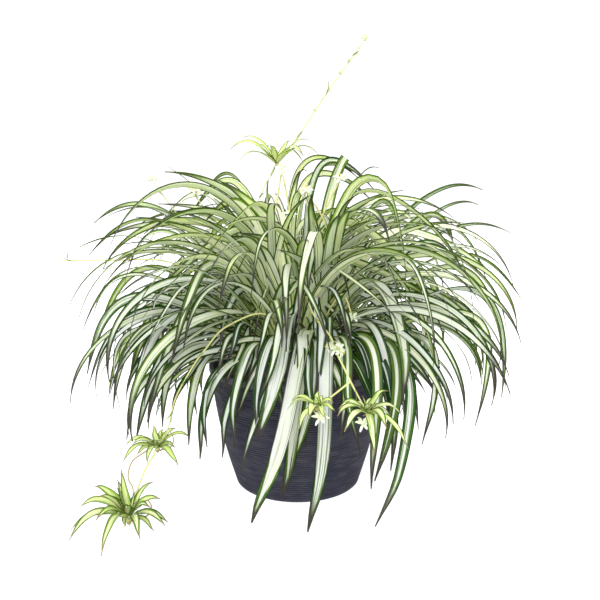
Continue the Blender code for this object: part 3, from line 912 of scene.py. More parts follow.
def material(build):
    """Makes a function that gives a shader's inputs into one that gives the material of a name."""

    def find(name, *values):
        made = bpy.data.materials.get(name)
        if made is None:
            made = bpy.data.materials.new(name)
            made.use_nodes = True
            tree = made.node_tree
            for label, value in build(tree, *values).items():
                feed(tree, tree.nodes["Principled BSDF"].inputs[label], value)
        return made

    return find


def read_traits(tree):
    """The three traits that a shape's points have."""
    return Node(tree, "ShaderNodeAttribute", attribute_name="traits")["Vector"].split()


@material
def blade_material(tree, settings, flesh):
    """Skin of a leaf or plantlet; flesh is how much light passes through it."""
    across, along, _ = Node(tree, "ShaderNodeUVMap", uv_map="Blade")[0].split()
    seed, lightness, stripe = read_traits(tree)
    margin = Node(tree, "ShaderNodeAttribute", attribute_name="margin")["Fac"]
    values = {"Across": across, "Along": along, "Seed": seed}
    values.update({"Lightness": lightness, "Stripe": stripe, "Margin": margin})
    values.update({label.capitalize(): getattr(settings, label) for label in BLADE_COLOURS})
    skin = Node(tree, "ShaderNodeGroup", values, node_tree=variegated_blade())
    return {
        "Base Color": skin["Colour"],
        "Roughness": skin["Roughness"],
        "Normal": skin["Height"].bump(0.35, 0.0004),
        "Specular IOR Level": 0.15,
        "Subsurface Weight": skin["Flesh"] * flesh,
        "Subsurface Radius": (0.8, 1.0, 0.35),
        "Subsurface Scale": 0.002,
    }


def leaf_material(settings):
    """Skin of the plant's own leaves."""
    return blade_material("Leaf skin", settings, 0.7)


def plantlet_material(settings):
    """Skin of the plantlets' young blades."""
    return blade_material("Plantlet skin", settings, 0.4)


@material
def stem_material(tree, settings):
    """Skin of runners and stalks: green where young, straw where old, brown at the nodes."""
    _, young, node = read_traits(tree)
    skin = mottled(tree, settings.straw, settings.green, 0.012, 0.0009, 0.5)
    return {
        "Base Color": node.blend(young.blend(skin["Colour"], settings.green), settings.node),
        "Normal": skin["Height"].bump(0.4, 0.0003),
        "Roughness": 0.5,
    }


@material
def petal_material(tree, settings):
    """White petals; the second trait turns them to bud green and the third to pollen yellow."""
    _, bud, pollen = read_traits(tree)
    skin = mottled(tree, settings.petal, settings.bud, 0.006, 0.0006, 0.2)
    return {
        "Base Color": pollen.blend(bud.blend(skin["Colour"], settings.bud), settings.pollen),
        "Normal": skin["Height"].bump(0.3, 0.0002),
        "Roughness": 0.55,
        "Subsurface Weight": 0.2,
        "Subsurface Scale": 0.002,
    }


@material
def pot_material(tree, settings):
    """Matt slate plastic, with painted shade down in its combed grooves and a little dust on the ribs that
    is partly a painted highlight.
    """
    # The first trait is dust on the ribs that is partly a painted highlight along their crests.
    dust, groove, band = read_traits(tree)
    skin = mottled(tree, settings.plastic, settings.dust, 0.022, 0.0009, 0.22)
    # The groove colour blended in here is painted shade down in the grooves.
    colour = groove.blend((dust * 0.3).blend(skin["Colour"], settings.dust), settings.groove)
    return {
        "Base Color": (band * 0.6).blend(colour, settings.band),
        "Roughness": skin["Patches"] * 0.15 + 0.52,
        "Specular IOR Level": 0.2,
        "Normal": skin["Height"].bump(0.3, 0.0003),
    }


@material
def earth_material(tree, base, spot, patch):
    """Rough mottled matter: potting soil, its chips or the crown's old skin."""
    skin = mottled(tree, base, spot, patch, 0.0012, 0.9)
    return {
        "Base Color": skin["Colour"],
        "Roughness": skin["Patches"] * -0.15 + 0.95,
        "Normal": skin["Height"].bump(0.8, 0.0012),
    }


@material
def floor_material(tree, settings):
    """Matt paper that glows a little, so that its shadows are thin."""
    return {
        "Base Color": settings.floor,
        "Roughness": 0.9,
        "Specular IOR Level": 0.1,
        "Emission Color": (1, 1, 1),
        "Emission Strength": Node(tree, "ShaderNodeLightPath")["Is Camera Ray"] * settings.glow,
    }


# ---------------------------------------------------------------- settings


def Colour(name, description, *default):
    """A colour that a user may change."""
    return FloatVectorProperty(
        name=name, description=description, default=default, subtype="COLOR", min=0, max=1
    )


def Length(name, description, default):
    """A size in metres that a user may change."""
    return FloatProperty(
        name=name, description=description, default=default, min=0, unit="LENGTH", precision=4
    )


def Number(name, description, default, **more):
    """A share, a strength or an angle that a user may change."""
    return FloatProperty(name=name, description=description, default=default, **more)


def Count(name, description, default, least=0):
    """A whole number that a user may change."""
    return IntProperty(name=name, description=description, default=default, min=least)


class PotSettings(bpy.types.PropertyGroup):
    rib_pitch: Length("Rib pitch", "Height from one combed rib to the next", 0.0034)
    rib_depth: Length("Rib depth", "Depth of the combed grooves", 0.0011)
    rib_rows: Count("Rows a rib", "Mesh rows in each rib", 5, 3)
    turn_steps: Count("Turn steps", "Mesh columns round the pot", 200, 48)
    plastic: Colour("Plastic", "Colour of the pot's side", 0.033, 0.033, 0.057)
    # Painted shade: the colour down in the combed grooves
    groove: Colour("Groove", "Colour down in the grooves", 0.003, 0.003, 0.008)
    # Dust colour, also the painted highlight along the rib crests
    dust: Colour("Dust", "Colour of the ribs where they are dusty", 0.110, 0.108, 0.112)
    band: Colour("Band", "Colour of the smooth band under the lip", 0.130, 0.130, 0.145)


class SoilSettings(bpy.types.PropertyGroup):
    chips: Count("Chips", "Loose bits that lie on the soil", 520)
    chip_size: Length("Chip size", "Length of the largest chips", 0.0065)
    earth: Colour("Earth", "Colour of the soil", 0.030, 0.020, 0.013)
    crumb: Colour("Crumb", "Colour of the drier crumbs", 0.085, 0.060, 0.040)
    bark: Colour("Bark", "Colour of the chips", 0.120, 0.075, 0.045)
    perlite: Colour("Perlite", "Colour of the pale grains", 0.620, 0.600, 0.560)


class CrownSettings(bpy.types.PropertyGroup):
    sheaths: Count("Sheaths", "Old leaf bases round the crown", 64)
    skin: Colour("Skin", "Colour of the rhizomes", 0.300, 0.330, 0.140)
    scar: Colour("Scar", "Colour of the old, dry skin", 0.120, 0.090, 0.040)


class LeafSettings(bpy.types.PropertyGroup):
    thickness: Length("Thickness", "Thickness of a leaf along its midrib", 0.0007)
    wander: Length("Wander", "How far a leaf strays to the side towards its tip", 0.016)
    fold: Number("Fold", "Rise of the margins over the midrib", 0.45)
    ripple: Number("Ripple", "Waviness of the margins", 0.10)
    twist: Number("Twist", "Most that a leaf rolls along its length", 1.1, subtype="ANGLE")
    rows: Count("Rows", "Mesh rows along a leaf", 38, 12)
    seed: Count("Seed", "Start of the leaves' random values", 7)
    fullness: Number("Fullness", "Share of the inner leaves that grow", 1.0, min=0)
    dark: Colour("Dark green", "Darkest green of the margins", 0.003, 0.028, 0.002)
    pale: Colour("Pale green", "Palest green of the margins", 0.190, 0.330, 0.045)
    cream: Colour("Cream", "Colour of the middle stripe where its green is dark", 0.535, 0.570, 0.530)
    # Kept bright partly as painted light for the leaves shaded inside the clump
    lime: Colour("Lime", "Colour of the middle stripe where its green is pale", 0.900, 0.980, 0.560)
    # Partly painted: stands in for green light bounced between the leaves near the crown
    foot: Colour("Foot", "Colour near the crown", 0.640, 0.770, 0.220)
    outline: Colour("Outline", "Colour of the very margin", 0.003, 0.009, 0.002)
    tip: Colour("Tip", "Colour of the dry tip", 0.030, 0.024, 0.024)


class StemSettings(bpy.types.PropertyGroup):
    swelling: Number("Node swelling", "Extra radius at a node, as a share", 0.25)
    straw: Colour("Straw", "Colour of a ripe runner", 0.600, 0.560, 0.220)
    green: Colour("Green", "Colour of a young stalk", 0.560, 0.640, 0.240)
    node: Colour("Node", "Colour at a node", 0.240, 0.150, 0.060)


class PlantletSettings(bpy.types.PropertyGroup):
    extra: Count("Extra blades", "Young blades in a plantlet's heart", 6)
    dark: Colour("Dark green", "Darkest green of the margins", 0.050, 0.140, 0.012)
    pale: Colour("Pale green", "Palest green of the margins", 0.300, 0.450, 0.070)
    cream: Colour("Cream", "Colour of the middle stripe where its green is dark", 0.700, 0.740, 0.480)
    lime: Colour("Lime", "Colour of the middle stripe where its green is pale", 0.600, 0.700, 0.270)
    foot: Colour("Foot", "Colour near the heart", 0.560, 0.640, 0.220)
    outline: Colour("Outline", "Colour of the very margin", 0.020, 0.050, 0.008)
    tip: Colour("Tip", "Colour of the dry tip", 0.200, 0.160, 0.090)


BLADE_COLOURS = ("dark", "pale", "cream", "lime", "foot", "outline", "tip")


class FlowerSettings(bpy.types.PropertyGroup):
    petal_length: Length("Petal length", "Length of a petal", 0.0115)
    petal_width: Length("Petal width", "Width of a petal", 0.0042)
    petal: Colour("Petal", "Colour of the petals", 0.840, 0.860, 0.720)
    bud: Colour("Bud", "Colour of buds and bracts", 0.420, 0.520, 0.180)
    pollen: Colour("Pollen", "Colour of the anthers", 0.700, 0.640, 0.140)


class StageSettings(bpy.types.PropertyGroup):
    floor_radius: Length("Floor", "Half the width of the floor", 12.0)
    floor: Colour("Floor colour", "Colour of the floor", 0.700, 0.700, 0.700)
    glow: Number("Glow", "How much the floor's shadows are thinned", 0.62)
    sky: Number("Sky", "Strength of the soft light from all round", 1.2)
    key: Number("Key", "Strength of the main light", 1.4)
    fill: Number("Fill", "Strength of the shadowless light from the front", 1.2)
    key_spread: Number("Key spread", "Softness of the main light", 0.6, subtype="ANGLE")
    rise: Number("Rise", "Camera angle over level", math.radians(8), subtype="ANGLE")
    distance: Length("Distance", "From the camera to its target", 0.893)
    lens: Number("Lens", "Focal length in mm", 36.0)


# ---------------------------------------------------------------- pieces


def aim(made, target):
    """Turns a camera or light from its place to a target."""
    made.rotation_euler = (target - made.location).to_track_quat("-Z", "Y").to_euler()


class PLANT_OT_stage(bpy.types.Operator):
    """Sets the camera, the pale floor and the soft light"""

    bl_idname = "spider_plant.stage"
    bl_label = "Stage"

    TARGET = (0.0035, 0, 0.273)

    def execute(self, context):
        settings = context.scene.plant_stage
        self.camera(context, settings)
        self.floor(settings)
        self.light(context, settings)
        return {"FINISHED"}

    def camera(self, context, settings):
        """The camera looks a little down on the plant from the front."""
        data = bpy.data.cameras.new("camera")
        data.lens = settings.lens
        data.sensor_width = 36
        made = add_object("camera", data)
        away = Vector((0, -math.cos(settings.rise), math.sin(settings.rise)))
        made.location = Vector(self.TARGET) + away * settings.distance
        aim(made, Vector(self.TARGET))
        context.scene.camera = made

    def floor(self, settings):
        """A wide floor that the white world runs into."""
        reach = settings.floor_radius
        mesh = bpy.data.meshes.new("floor")
        corners = [(-reach, -reach, 0), (reach, -reach, 0), (reach, reach, 0), (-reach, reach, 0)]
        mesh.from_pydata(corners, [], [(0, 1, 2, 3)])
        mesh.materials.append(floor_material("White studio floor", settings))
        add_object("floor", mesh)

    def light(self, context, settings):
        """A white surround, soft light from all round, and a soft key from the upper front left."""
        world = bpy.data.worlds.new("studio")
        context.scene.world = world
        world.use_nodes = True
        tree = world.node_tree
        sky = tree.nodes["Background"].inputs
        seen = Node(tree, "ShaderNodeLightPath")["Is Camera Ray"]
        feed(tree, sky["Color"], (1, 1, 1))
        feed(tree, sky["Strength"], seen.maths("MAXIMUM", seen, settings.sky))
        for name, strength, spread, spot in (
            ("key", settings.key, settings.key_spread, (-0.5, -1.6, 1.2)),
            ("fill", settings.fill, 0.0, (0.2, -1.6, 0.7)),
        ):
            data = bpy.data.lights.new(name, "SUN")
            data.energy = strength
            data.angle = spread
            data.use_shadow = name == "key"
            made = add_object(name, data)
            made.location = spot
            aim(made, Vector())
        context.scene.view_settings.view_transform = "Standard"


class PLANT_OT_pot(bpy.types.Operator):
    """Turns the ribbed pot with its lip, its band and the drain holes in its floor"""

    bl_idname = "spider_plant.pot"
    bl_label = "Pot"

    def execute(self, context):
        settings = context.scene.plant_pot
        plastic = pot_material("Combed slate plastic", settings)
        self.shell(settings).piece("ribbed_pot", plastic, "pot_plastic", "pot", sharp=50)
        piece("pot_floor", self.floor(), plastic, "pot_plastic")
        return {"FINISHED"}

    def outline(self, settings):
        """The turned outline as (radius, height, rib, band): down the outside and up the inside."""
        inner = RIM_RADIUS - LIP_WIDTH
        band_low = POT_HEIGHT - BAND_HEIGHT
        rows = [(inner + LIP_ROUNDING, POT_HEIGHT, 0, 1)]
        for turn in (math.radians(degrees) for degrees in (0, 30, 60, 90)):
            radius = RIM_RADIUS - LIP_ROUNDING * (1 - math.sin(turn))
            rows.append((radius, POT_HEIGHT - LIP_ROUNDING * (1 - math.cos(turn)), 0, 1))
        rows += [(RIM_RADIUS, band_low + 0.0006, 0, 1), (RIM_RADIUS - 0.0005, band_low, 0, 0.7)]
        side_top = band_low - 0.0008
        count = round((side_top - BASE_ROUNDING) / settings.rib_pitch) * settings.rib_rows
        for i in range(count + 1):
            z = side_top + (BASE_ROUNDING - side_top) * i / count
            rows.append((side_radius(z), z, 1, 0))
        centre = side_radius(BASE_ROUNDING) - BASE_ROUNDING
        for turn in (math.radians(degrees) for degrees in (30, 60, 90)):
            radius = centre + BASE_ROUNDING * math.cos(turn)
            rows.append((radius, BASE_ROUNDING * (1 - math.sin(turn)), 0, 0))
        rows += [(FLOOR_PLATE, 0, 0, 0), (FLOOR_PLATE, FLOOR, 0, 0)]
        for i in range(13):
            z = FLOOR + (band_low - FLOOR) * i / 12
            rows.append((side_radius(z) - WALL, z, 0, 0))
        rows.append((inner, POT_HEIGHT - LIP_ROUNDING, 0, 1))
        return rows

    def shell(self, settings):
        """The side and lip; the ribs are combed grooves that waver and fade here and there."""
        shape = Shape()
        rows = self.outline(settings)
        for radius, z, ribbed, band in rows:
            for i in range(settings.turn_steps):
                x, y = around(1, i, settings.turn_steps)
                groove = 0.0
                if ribbed:
                    ends = min(z - BASE_ROUNDING, POT_HEIGHT - BAND_HEIGHT - z) / settings.rib_pitch
                    groove = self.groove(x, y, z, settings) * smooth(0, 1, ends)
                reach = radius - settings.rib_depth * groove
                # The second trait is the groove depth, which the material turns into painted shade.
                traits = (self.dust(x, y, z, groove, settings) * ribbed, groove, band)
                shape.add((reach * x, reach * y, z), traits)
        shape.walls(0, len(rows), settings.turn_steps, outward=False, closed=True)
        return shape

    def groove(self, x, y, z, settings):
        """How deep the combing is here, 0 to 1; the material paints the same amount of shade into the
        groove.
        """
        waver = noise.noise(Vector((x * 1.6, y * 1.6, z * 8))) * 0.25
        phase = z / settings.rib_pitch + waver
        comb = (0.5 + 0.5 * math.cos(math.tau * phase)) ** 1.3
        line = int(phase)
        strength = noise.noise(Vector((x * 4.5 + line * 3.7, y * 4.5 - line * 1.9, line * 0.83)))
        return comb * (0.4 + 0.6 * smooth(-0.3, 0.3, strength))

    def dust(self, x, y, z, groove, settings):
        """How much dust and painted highlight a rib has here, 0 to 1: in level streaks on the crests of
        some of the ribs.
        """
        line = int(z / settings.rib_pitch + 0.5)
        streak = noise.noise(Vector((x * 7 + line * 2.9, y * 7 + line * 1.3, line * 0.71)))
        return smooth(0.05, 0.5, streak) * (1 - groove)

    def floor(self):
        """The pot's floor: a plate with drain holes."""
        data = bpy.data.curves.new("pot_floor", "CURVE")
        data.dimensions = "2D"
        data.fill_mode = "BOTH"
        data.extrude = FLOOR / 2 - GAP
        rings = [(Vector(), FLOOR_PLATE - GAP, 96)]
        for i in range(DRAIN_HOLES):
            rings.append((place((i + 0.5) * 360 / DRAIN_HOLES, DRAIN_RING, 0), DRAIN_RADIUS, 32))
        for middle, radius, count in rings:
            spline = data.splines.new("POLY")
            spline.points.add(count - 1)
            for i, point in enumerate(spline.points):
                x, y = around(radius, i, count)
                point.co = (middle.x + x, middle.y + y, 0, 1)
            spline.use_cyclic_u = True
        guide = add_object("pot_floor_guide", data)
        bpy.context.view_layer.update()
        found = guide.evaluated_get(bpy.context.evaluated_depsgraph_get())
        mesh = bpy.data.meshes.new_from_object(found)
        mesh.transform(Matrix.Translation((0, 0, FLOOR / 2)))
        mesh.materials.clear()
        mesh.attributes.new("traits", "FLOAT_VECTOR", "POINT")
        bpy.data.objects.remove(guide)
        return mesh


class PLANT_OT_soil(bpy.types.Operator):
    """Fills the pot with lumpy soil and strews chips and pale grains on it"""

    bl_idname = "spider_plant.soil"
    bl_label = "Soil"

    DISH = (0.062, 0.122)  # reach between which the top sinks
    STREWN = (0.05, 0.119)  # reach between which chips and grains lie

    def execute(self, context):
        settings = context.scene.plant_soil
        earth = earth_material("Potting soil", settings.earth, settings.crumb, 0.006)
        self.body().piece("compost", earth, "potting_soil", "soil", sharp=60)
        bark = earth_material("Bark chips", settings.bark, settings.earth, 0.004)
        chips = self.strewn(settings.chips, settings.chip_size, 11)
        chips.piece("bark_chips", bark, "potting_soil", sharp=25)
        pale = earth_material("Perlite grains", settings.perlite, settings.crumb, 0.003)
        grains = self.strewn(settings.chips // 8, settings.chip_size * 0.4, 12)
        grains.piece("perlite_grains", pale, "potting_soil", sharp=25)
        return {"FINISHED"}

    @staticmethod
    def height(x, y):
        """Height of the lumpy surface here."""
        level = SOIL_TOP - 0.002 - SOIL_DISH * smooth(*PLANT_OT_soil.DISH, math.hypot(x, y))
        return level + SOIL_LUMPS * noise.fractal(Vector((x * 70, y * 70, 3)), 1.0, 2.0, 4)

    def body(self):
        """The soil: a lumpy top over a plain block down to the pot's floor."""
        shape = Shape()
        shape.add((0, 0, self.height(0, 0)))
        steps, top_rows, side_rows = 120, 57, 9
        middle, edge = 0.006, side_radius(SOIL_TOP) - WALL - 3 * GAP
        for row in range(top_rows):
            shape.ring(middle + (edge - middle) * row / (top_rows - 1), steps, self.height)
        high, low = SOIL_TOP - 0.008, FLOOR + GAP
        for row in range(side_rows):
            z = high + (low - high) * row / (side_rows - 1)
            shape.ring(side_radius(z) - WALL - 3 * GAP, steps, lambda x, y: z)
        shape.dome(top_rows + side_rows, steps)
        return shape

    def strewn(self, count, largest, seed):
        """Small angular bits that lie on the soil round the crown."""
        shape = Shape()
        draw = random.Random(seed)
        near, far = self.STREWN
        for _ in range(count):
            reach = math.sqrt(draw.uniform(near**2, far**2))
            turn = draw.uniform(0, math.tau)
            x, y = reach * math.cos(turn), reach * math.sin(turn)
            size = largest * draw.uniform(0.25, 1) / 2
            lie = Matrix.Rotation(draw.uniform(0, math.tau), 3, "Z")
            lie = lie @ Matrix.Rotation(draw.uniform(-0.5, 0.5), 3, "X")
            self.bit(shape, Vector((x, y, self.height(x, y) + size * 0.25)), size, lie, draw)
        return shape

    @staticmethod
    def bit(shape, centre, size, lie, draw):
        """One chip: a flattened, uneven six-sided nugget."""
        first = len(shape.points)
        rings = ((-0.8, 0.5), (-0.2, 1.0), (0.35, 0.9), (0.8, 0.45))
        for z, reach in rings:
            for i in range(6):
                x, y = around(size * reach * draw.uniform(0.75, 1.1), i, 6)
                shape.add(centre + lie @ Vector((x, y * 0.6, size * 0.35 * z)))
        shape.barrel(first, len(rings), 6)


class PLANT_OT_crown(bpy.types.Operator):
    """Makes the clump of rhizomes and the old leaf bases round it"""

    bl_idname = "spider_plant.crown"
    bl_label = "Crown"

    def execute(self, context):
        settings = context.scene.plant_crown
        leaf = context.scene.plant_leaf
        skin = earth_material("Rhizome skin", settings.skin, settings.scar, 0.008)
        self.clump().piece("rhizome_clump", skin, "rhizome", "crown", sharp=60)
        self.sheaths(settings.sheaths, leaf).piece("leaf_bases", leaf_material(leaf), "leaf")
        return {"FINISHED"}

    def clump(self):
        """The dome, knobbly where rhizomes push up."""
        shape = Shape()
        shape.add((0, 0, crown_height(0)))
        steps, rings = 96, 28
        for row in range(1, rings + 1):
            reach = CROWN_RADIUS * math.sin(math.pi / 2 * row / rings)
            lumps = CROWN_LUMPS * (1 - (reach / CROWN_RADIUS) ** 4)

            def height(x, y):
                knob = noise.noise(Vector((x * 90, y * 90, 1)))
                knob += 0.5 * noise.noise(Vector((x * 210, y * 210, 5)))
                return max(crown_height(reach) + lumps * knob - 0.0006, CROWN_BASE - 0.001)

            shape.ring(reach, steps, height)
        shape.dome(rings, steps)
        return shape

    def sheaths(self, count, leaf):
        """Short blades that clasp the feet of the leaves."""
        shape = Shape()
        draw = random.Random(31)
        for i in range(count):
            turn = math.degrees(i * GOLDEN_ANGLE)
            steep = 1 - (i + 0.5) / count
            foot = leaf_foot(turn, steep)
            out = place(turn, 1, 0)
            launch = (out * (1.15 - steep) + UP * (0.35 + steep)).normalized()
            length = draw.uniform(0.025, 0.055)
            middle = foot + launch * length * 0.5
            tip = middle + (launch + out * 0.5 - UP * 0.25) * length * 0.5
            half_at = short_half(0.3, draw.uniform(0.010, 0.015))
            traits = (draw.random(), draw.uniform(0.5, 1.0), draw.uniform(0.3, 0.9))
            form = (leaf.thickness * 1.6, 0.7, leaf.ripple, draw.uniform(-0.3, 0.3))
            shape.blade(leaf_line(foot, middle, tip, 14), UP.cross(out), half_at, form, traits, draw)
        return shape


def natural_roll(azimuth, settings, draw, rising=False, least=0.0):
    """How far a leaf rolls along its length: most turn a face out to the front or the back."""
    turn = math.radians(azimuth)
    side = math.copysign(math.sqrt(abs(math.cos(turn))), math.cos(turn))
    out = side * (1 if (math.sin(turn) < 0) != rising else -1)
    return settings.twist * (out * draw.uniform(least, 1.0) + draw.uniform(-0.35, 0.35))


def grow_leaf(shape, leaf, settings, draw, side, label):
    """Adds one leaf of the tables to a shape."""
    foot_azimuth, middle, tip, width = leaf
    line = crown_leaf_line(foot_azimuth, middle, tip, settings.rows)
    if label == TRIMMED_LEAF:
        line = [(point, direction, t * TRIMMED_SHARE) for point, direction, t in line]
    least, share = USUAL_ROLL.get(side, USUAL_ROLL["other"])
    roll = math.degrees(natural_roll(middle[0], settings, draw, least=least)) * share
    light, stripe = USUAL_FINISH.get(side, USUAL_FINISH["other"])
    usual = (draw.uniform(*light), draw.uniform(*stripe), TAPER_POWER, USUAL_BREADTH, roll, None)
    light, stripe, power, breadth, roll, bow = FINISH.get(label, usual)
    form = (settings.thickness, settings.fold, settings.ripple, math.radians(roll))
    traits = (draw.random(), light, stripe)
    if bow is None:
        bow = USUAL_BOW * (2 * traits[0] - 1)
    half_at = short_half(0, width / 1000 * breadth, power)
    shape.blade(line, UP.cross(line[0][1]), half_at, form, traits, draw, settings.wander, bow)


class PLANT_OT_leaves(bpy.types.Operator):
    """Grows the leaves that the frame has, each a piece of its own"""

    bl_idname = "spider_plant.leaves"
    bl_label = "Leaves"

    def execute(self, context):
        settings = context.scene.plant_leaf
        draw = random.Random(settings.seed)
        for side, leaves in LEAVES.items():
            for i, leaf in enumerate(leaves):
                label = f"{side}_{i + 1:02d}"
                shape = Shape()
                grow_leaf(shape, leaf, settings, draw, side, label)
                shape.piece(f"blade_{label}", leaf_material(settings), "leaf", f"leaf_{label}")
        return {"FINISHED"}


class PLANT_OT_more_leaves(bpy.types.Operator):
    """Grows the named groups of leaves between those of the frame"""

    bl_idname = "spider_plant.more_leaves"
    bl_label = "More leaves"

    def execute(self, context):
        settings = context.scene.plant_leaf
        draw = random.Random(settings.seed + 1)
        for side, leaves in MORE_LEAVES.items():
            shape = Shape()
            for i, leaf in enumerate(leaves):
                grow_leaf(shape, leaf, settings, draw, side, f"more_{side}_{i + 1:02d}")
            shape.piece(f"outer_leaves_{side}", leaf_material(settings), "leaf")
        return {"FINISHED"}


class PLANT_OT_fountain(bpy.types.Operator):
    """Fills the plant with arching leaves from the crown: a low skirt, arches and a steep heart"""

    bl_idname = "spider_plant.fountain"
    bl_label = "Inner leaves"

    # Ranges of random values: degrees of rise, a factor for the length, degrees of sway to the side,
    # the share of a snapped leaf's bend that is at one place, that place, and the lowest height
    RISES = (-4, 4)
    LENGTHS = (0.88, 1.08)
    SWAYS = (-24, 24)
    SNAPS = (0.4, 0.8)
    SNAP_PLACES = (0.42, 0.62)
    LOWEST = (0.035, 0.13)
    STEEP = 62  # degrees of rise over which a leaf rolls the other way
    SHORTER = 0.95  # what the length of a leaf that doesn't fit is cut to
    STEEPER = 1.5  # and how many degrees it is raised
    FRONT_ROOM = 0.005  # how far past the frame's box a leaf may reach in front
    BACK_ROOM = -0.01  # and at the back

    def execute(self, context):
        settings = context.scene.plant_leaf
        # Places on the left runner that no added leaf may hang in front of
        spots = [point for point in stem_route("hanging_runner") if point.z > VIEW_FROM][::3]
        for tier, (count, front, *ranges) in TIERS.items():
            count = round(count * settings.fullness)
            shape, made = Shape(), 0
            for i in range(count):
                azimuth = math.degrees(i * GOLDEN_ANGLE) % 360 - 180
                if tier == "curtain":
                    azimuth = FRONT_LEAVES + azimuth / 3
                source = table_place(*GROWING_POINTS[i % len(GROWING_POINTS)], 0)
                draw = random.Random(f"{tier} {i} {settings.seed}")
                level = (i + 0.5) / count
                self.leaf(shape, source, azimuth, level, ranges, settings, draw, spots, front)
                if shape.blades == LEAVES_A_PIECE or (i == count - 1 and shape.blades):
                    made += 1
                    shape.piece(f"{tier}_leaves_{made:02d}", leaf_material(settings), "leaf")
                    shape = Shape()
        return {"FINISHED"}

    def leaf(self, shape, source, azimuth, level, ranges, settings, draw, spots, front):
        """One leaf: it is shortened and raised until it clears the pot, the floor and the plant's box."""
        (low, high), (least, most), (short, long), widths, lights, stripes = ranges
        rise = low + (high - low) * level + draw.uniform(*self.RISES)
        drop = draw.uniform(least, most)
        length = short + (long - short) * (drop - least) / (most - least)
        length *= draw.uniform(*self.LENGTHS)
        sway = draw.uniform(*self.SWAYS)
        half_at = short_half(0, draw.uniform(*widths))
        light, stripe, seed = draw.uniform(*lights), draw.uniform(*stripes), draw.random()
        roll = natural_roll(azimuth, settings, draw, rising=rise > self.STEEP)
        snap = draw.uniform(*self.SNAPS) if draw.random() < SNAPPED_SHARE else 0.0
        bend = (snap, draw.uniform(*self.SNAP_PLACES))
        lowest = draw.uniform(*self.LOWEST)
        for _ in range(TRIES):
            line = self.line(source, azimuth, rise, drop, length, sway, bend, settings.rows)
            if self.fits(line, lowest, front) and not self.hides(line, spots):
                form = (settings.thickness, settings.fold, settings.ripple, roll)
                across = UP.cross(place(azimuth, 1, 0))
                shape.blade(line, across, half_at, form, (seed, light, stripe), draw, settings.wander)
                return
            length *= self.SHORTER
            rise += self.STEEPER

    @staticmethod
    def line(source, azimuth, rise, drop, length, sway, bend, rows):
        """A leaf's line: it leaves its growing point and bends over, some of it at one place."""
        snap, at = bend
        foot = source + place(azimuth, GROWING_POINT_RADIUS * math.cos(math.radians(rise)), 0)
        point = on_crown(foot.x, foot.y)
        line = []
        for i in range(rows):
            t = i / (rows - 1)
            bent = (1 - snap) * t**1.5 + snap * smooth(at - 0.1, at + 0.1, t)
            pitch = math.radians(rise - drop * bent)
            heading = math.radians(azimuth + sway * t)
            level = math.cos(pitch)
            direction = Vector((level * math.cos(heading), level * math.sin(heading), math.sin(pitch)))
            line.append((point, direction, t))
            point = point + direction * (length / (rows - 1))
        return line

    @staticmethod
    def fits(line, lowest, front):
        """Whether a leaf keeps clear of the pot, the floor, the front leaves and the plant's outline."""
        nearest = CAD_BOX[0].y - PLANT_OT_fountain.FRONT_ROOM
        farthest = CAD_BOX[1].y + PLANT_OT_fountain.BACK_ROOM
        for point, _, _ in line:
            reach = math.hypot(point.x, point.y)
            azimuth = math.degrees(math.atan2(point.y, point.x))
            if point.z < POT_HEIGHT + RIM_ROOM and CROWN_RADIUS < reach < RIM_RADIUS + RIM_ROOM:
                return False
            if not lowest < point.z < TALLEST:
                return False
            if abs(azimuth - FRONT_LEAVES) < FRONT_SPREAD and reach > front and point.z < FRONT_TOP:
                return False
            if reach > min(WIDEST_HIGH, WIDEST_LOW + NARROWING * point.z):
                return False
            if not nearest < point.y < farthest:
                return False
        return True

    @staticmethod
    def hides(line, spots):
        """Whether a leaf hangs in front of any of these places."""
        for point, _, _ in line:
            for spot in spots:
                near = abs(point.x - spot.x) < VIEW_GAP and abs(point.z - spot.z) < VIEW_GAP
                if near and point.y < spot.y:
                    return True
        return False


def at_core(point, name):
    """Where a stem that comes from this point stops short of the core of a rosette or flower."""
    spot, core = (FLOWERS[name][0], FLOWER_CORE) if name in FLOWERS else ROSETTES[name][:2]
    centre = table_point(*spot)
    return centre + (point - centre).normalized() * (core / 1000 + STEM_STOP)


def stem_route(name):
    """The smooth route of a stem of the frame."""
    points = [table_point(*spot) for spot in STEMS[name][1]]
    first, last = STEM_ENDS.get(name, (None, None))
    if first:
        points.insert(0, at_core(points[0], first))
    if last:
        points.append(at_core(points[-1], last))
    return smooth_route(points, 12 * len(points))


def side_of(direction, draw):
    """A direction square to this one, turned at random round it."""
    turned = Matrix.Rotation(draw.uniform(0, math.tau), 3, direction)
    return turned @ direction.orthogonal().normalized()


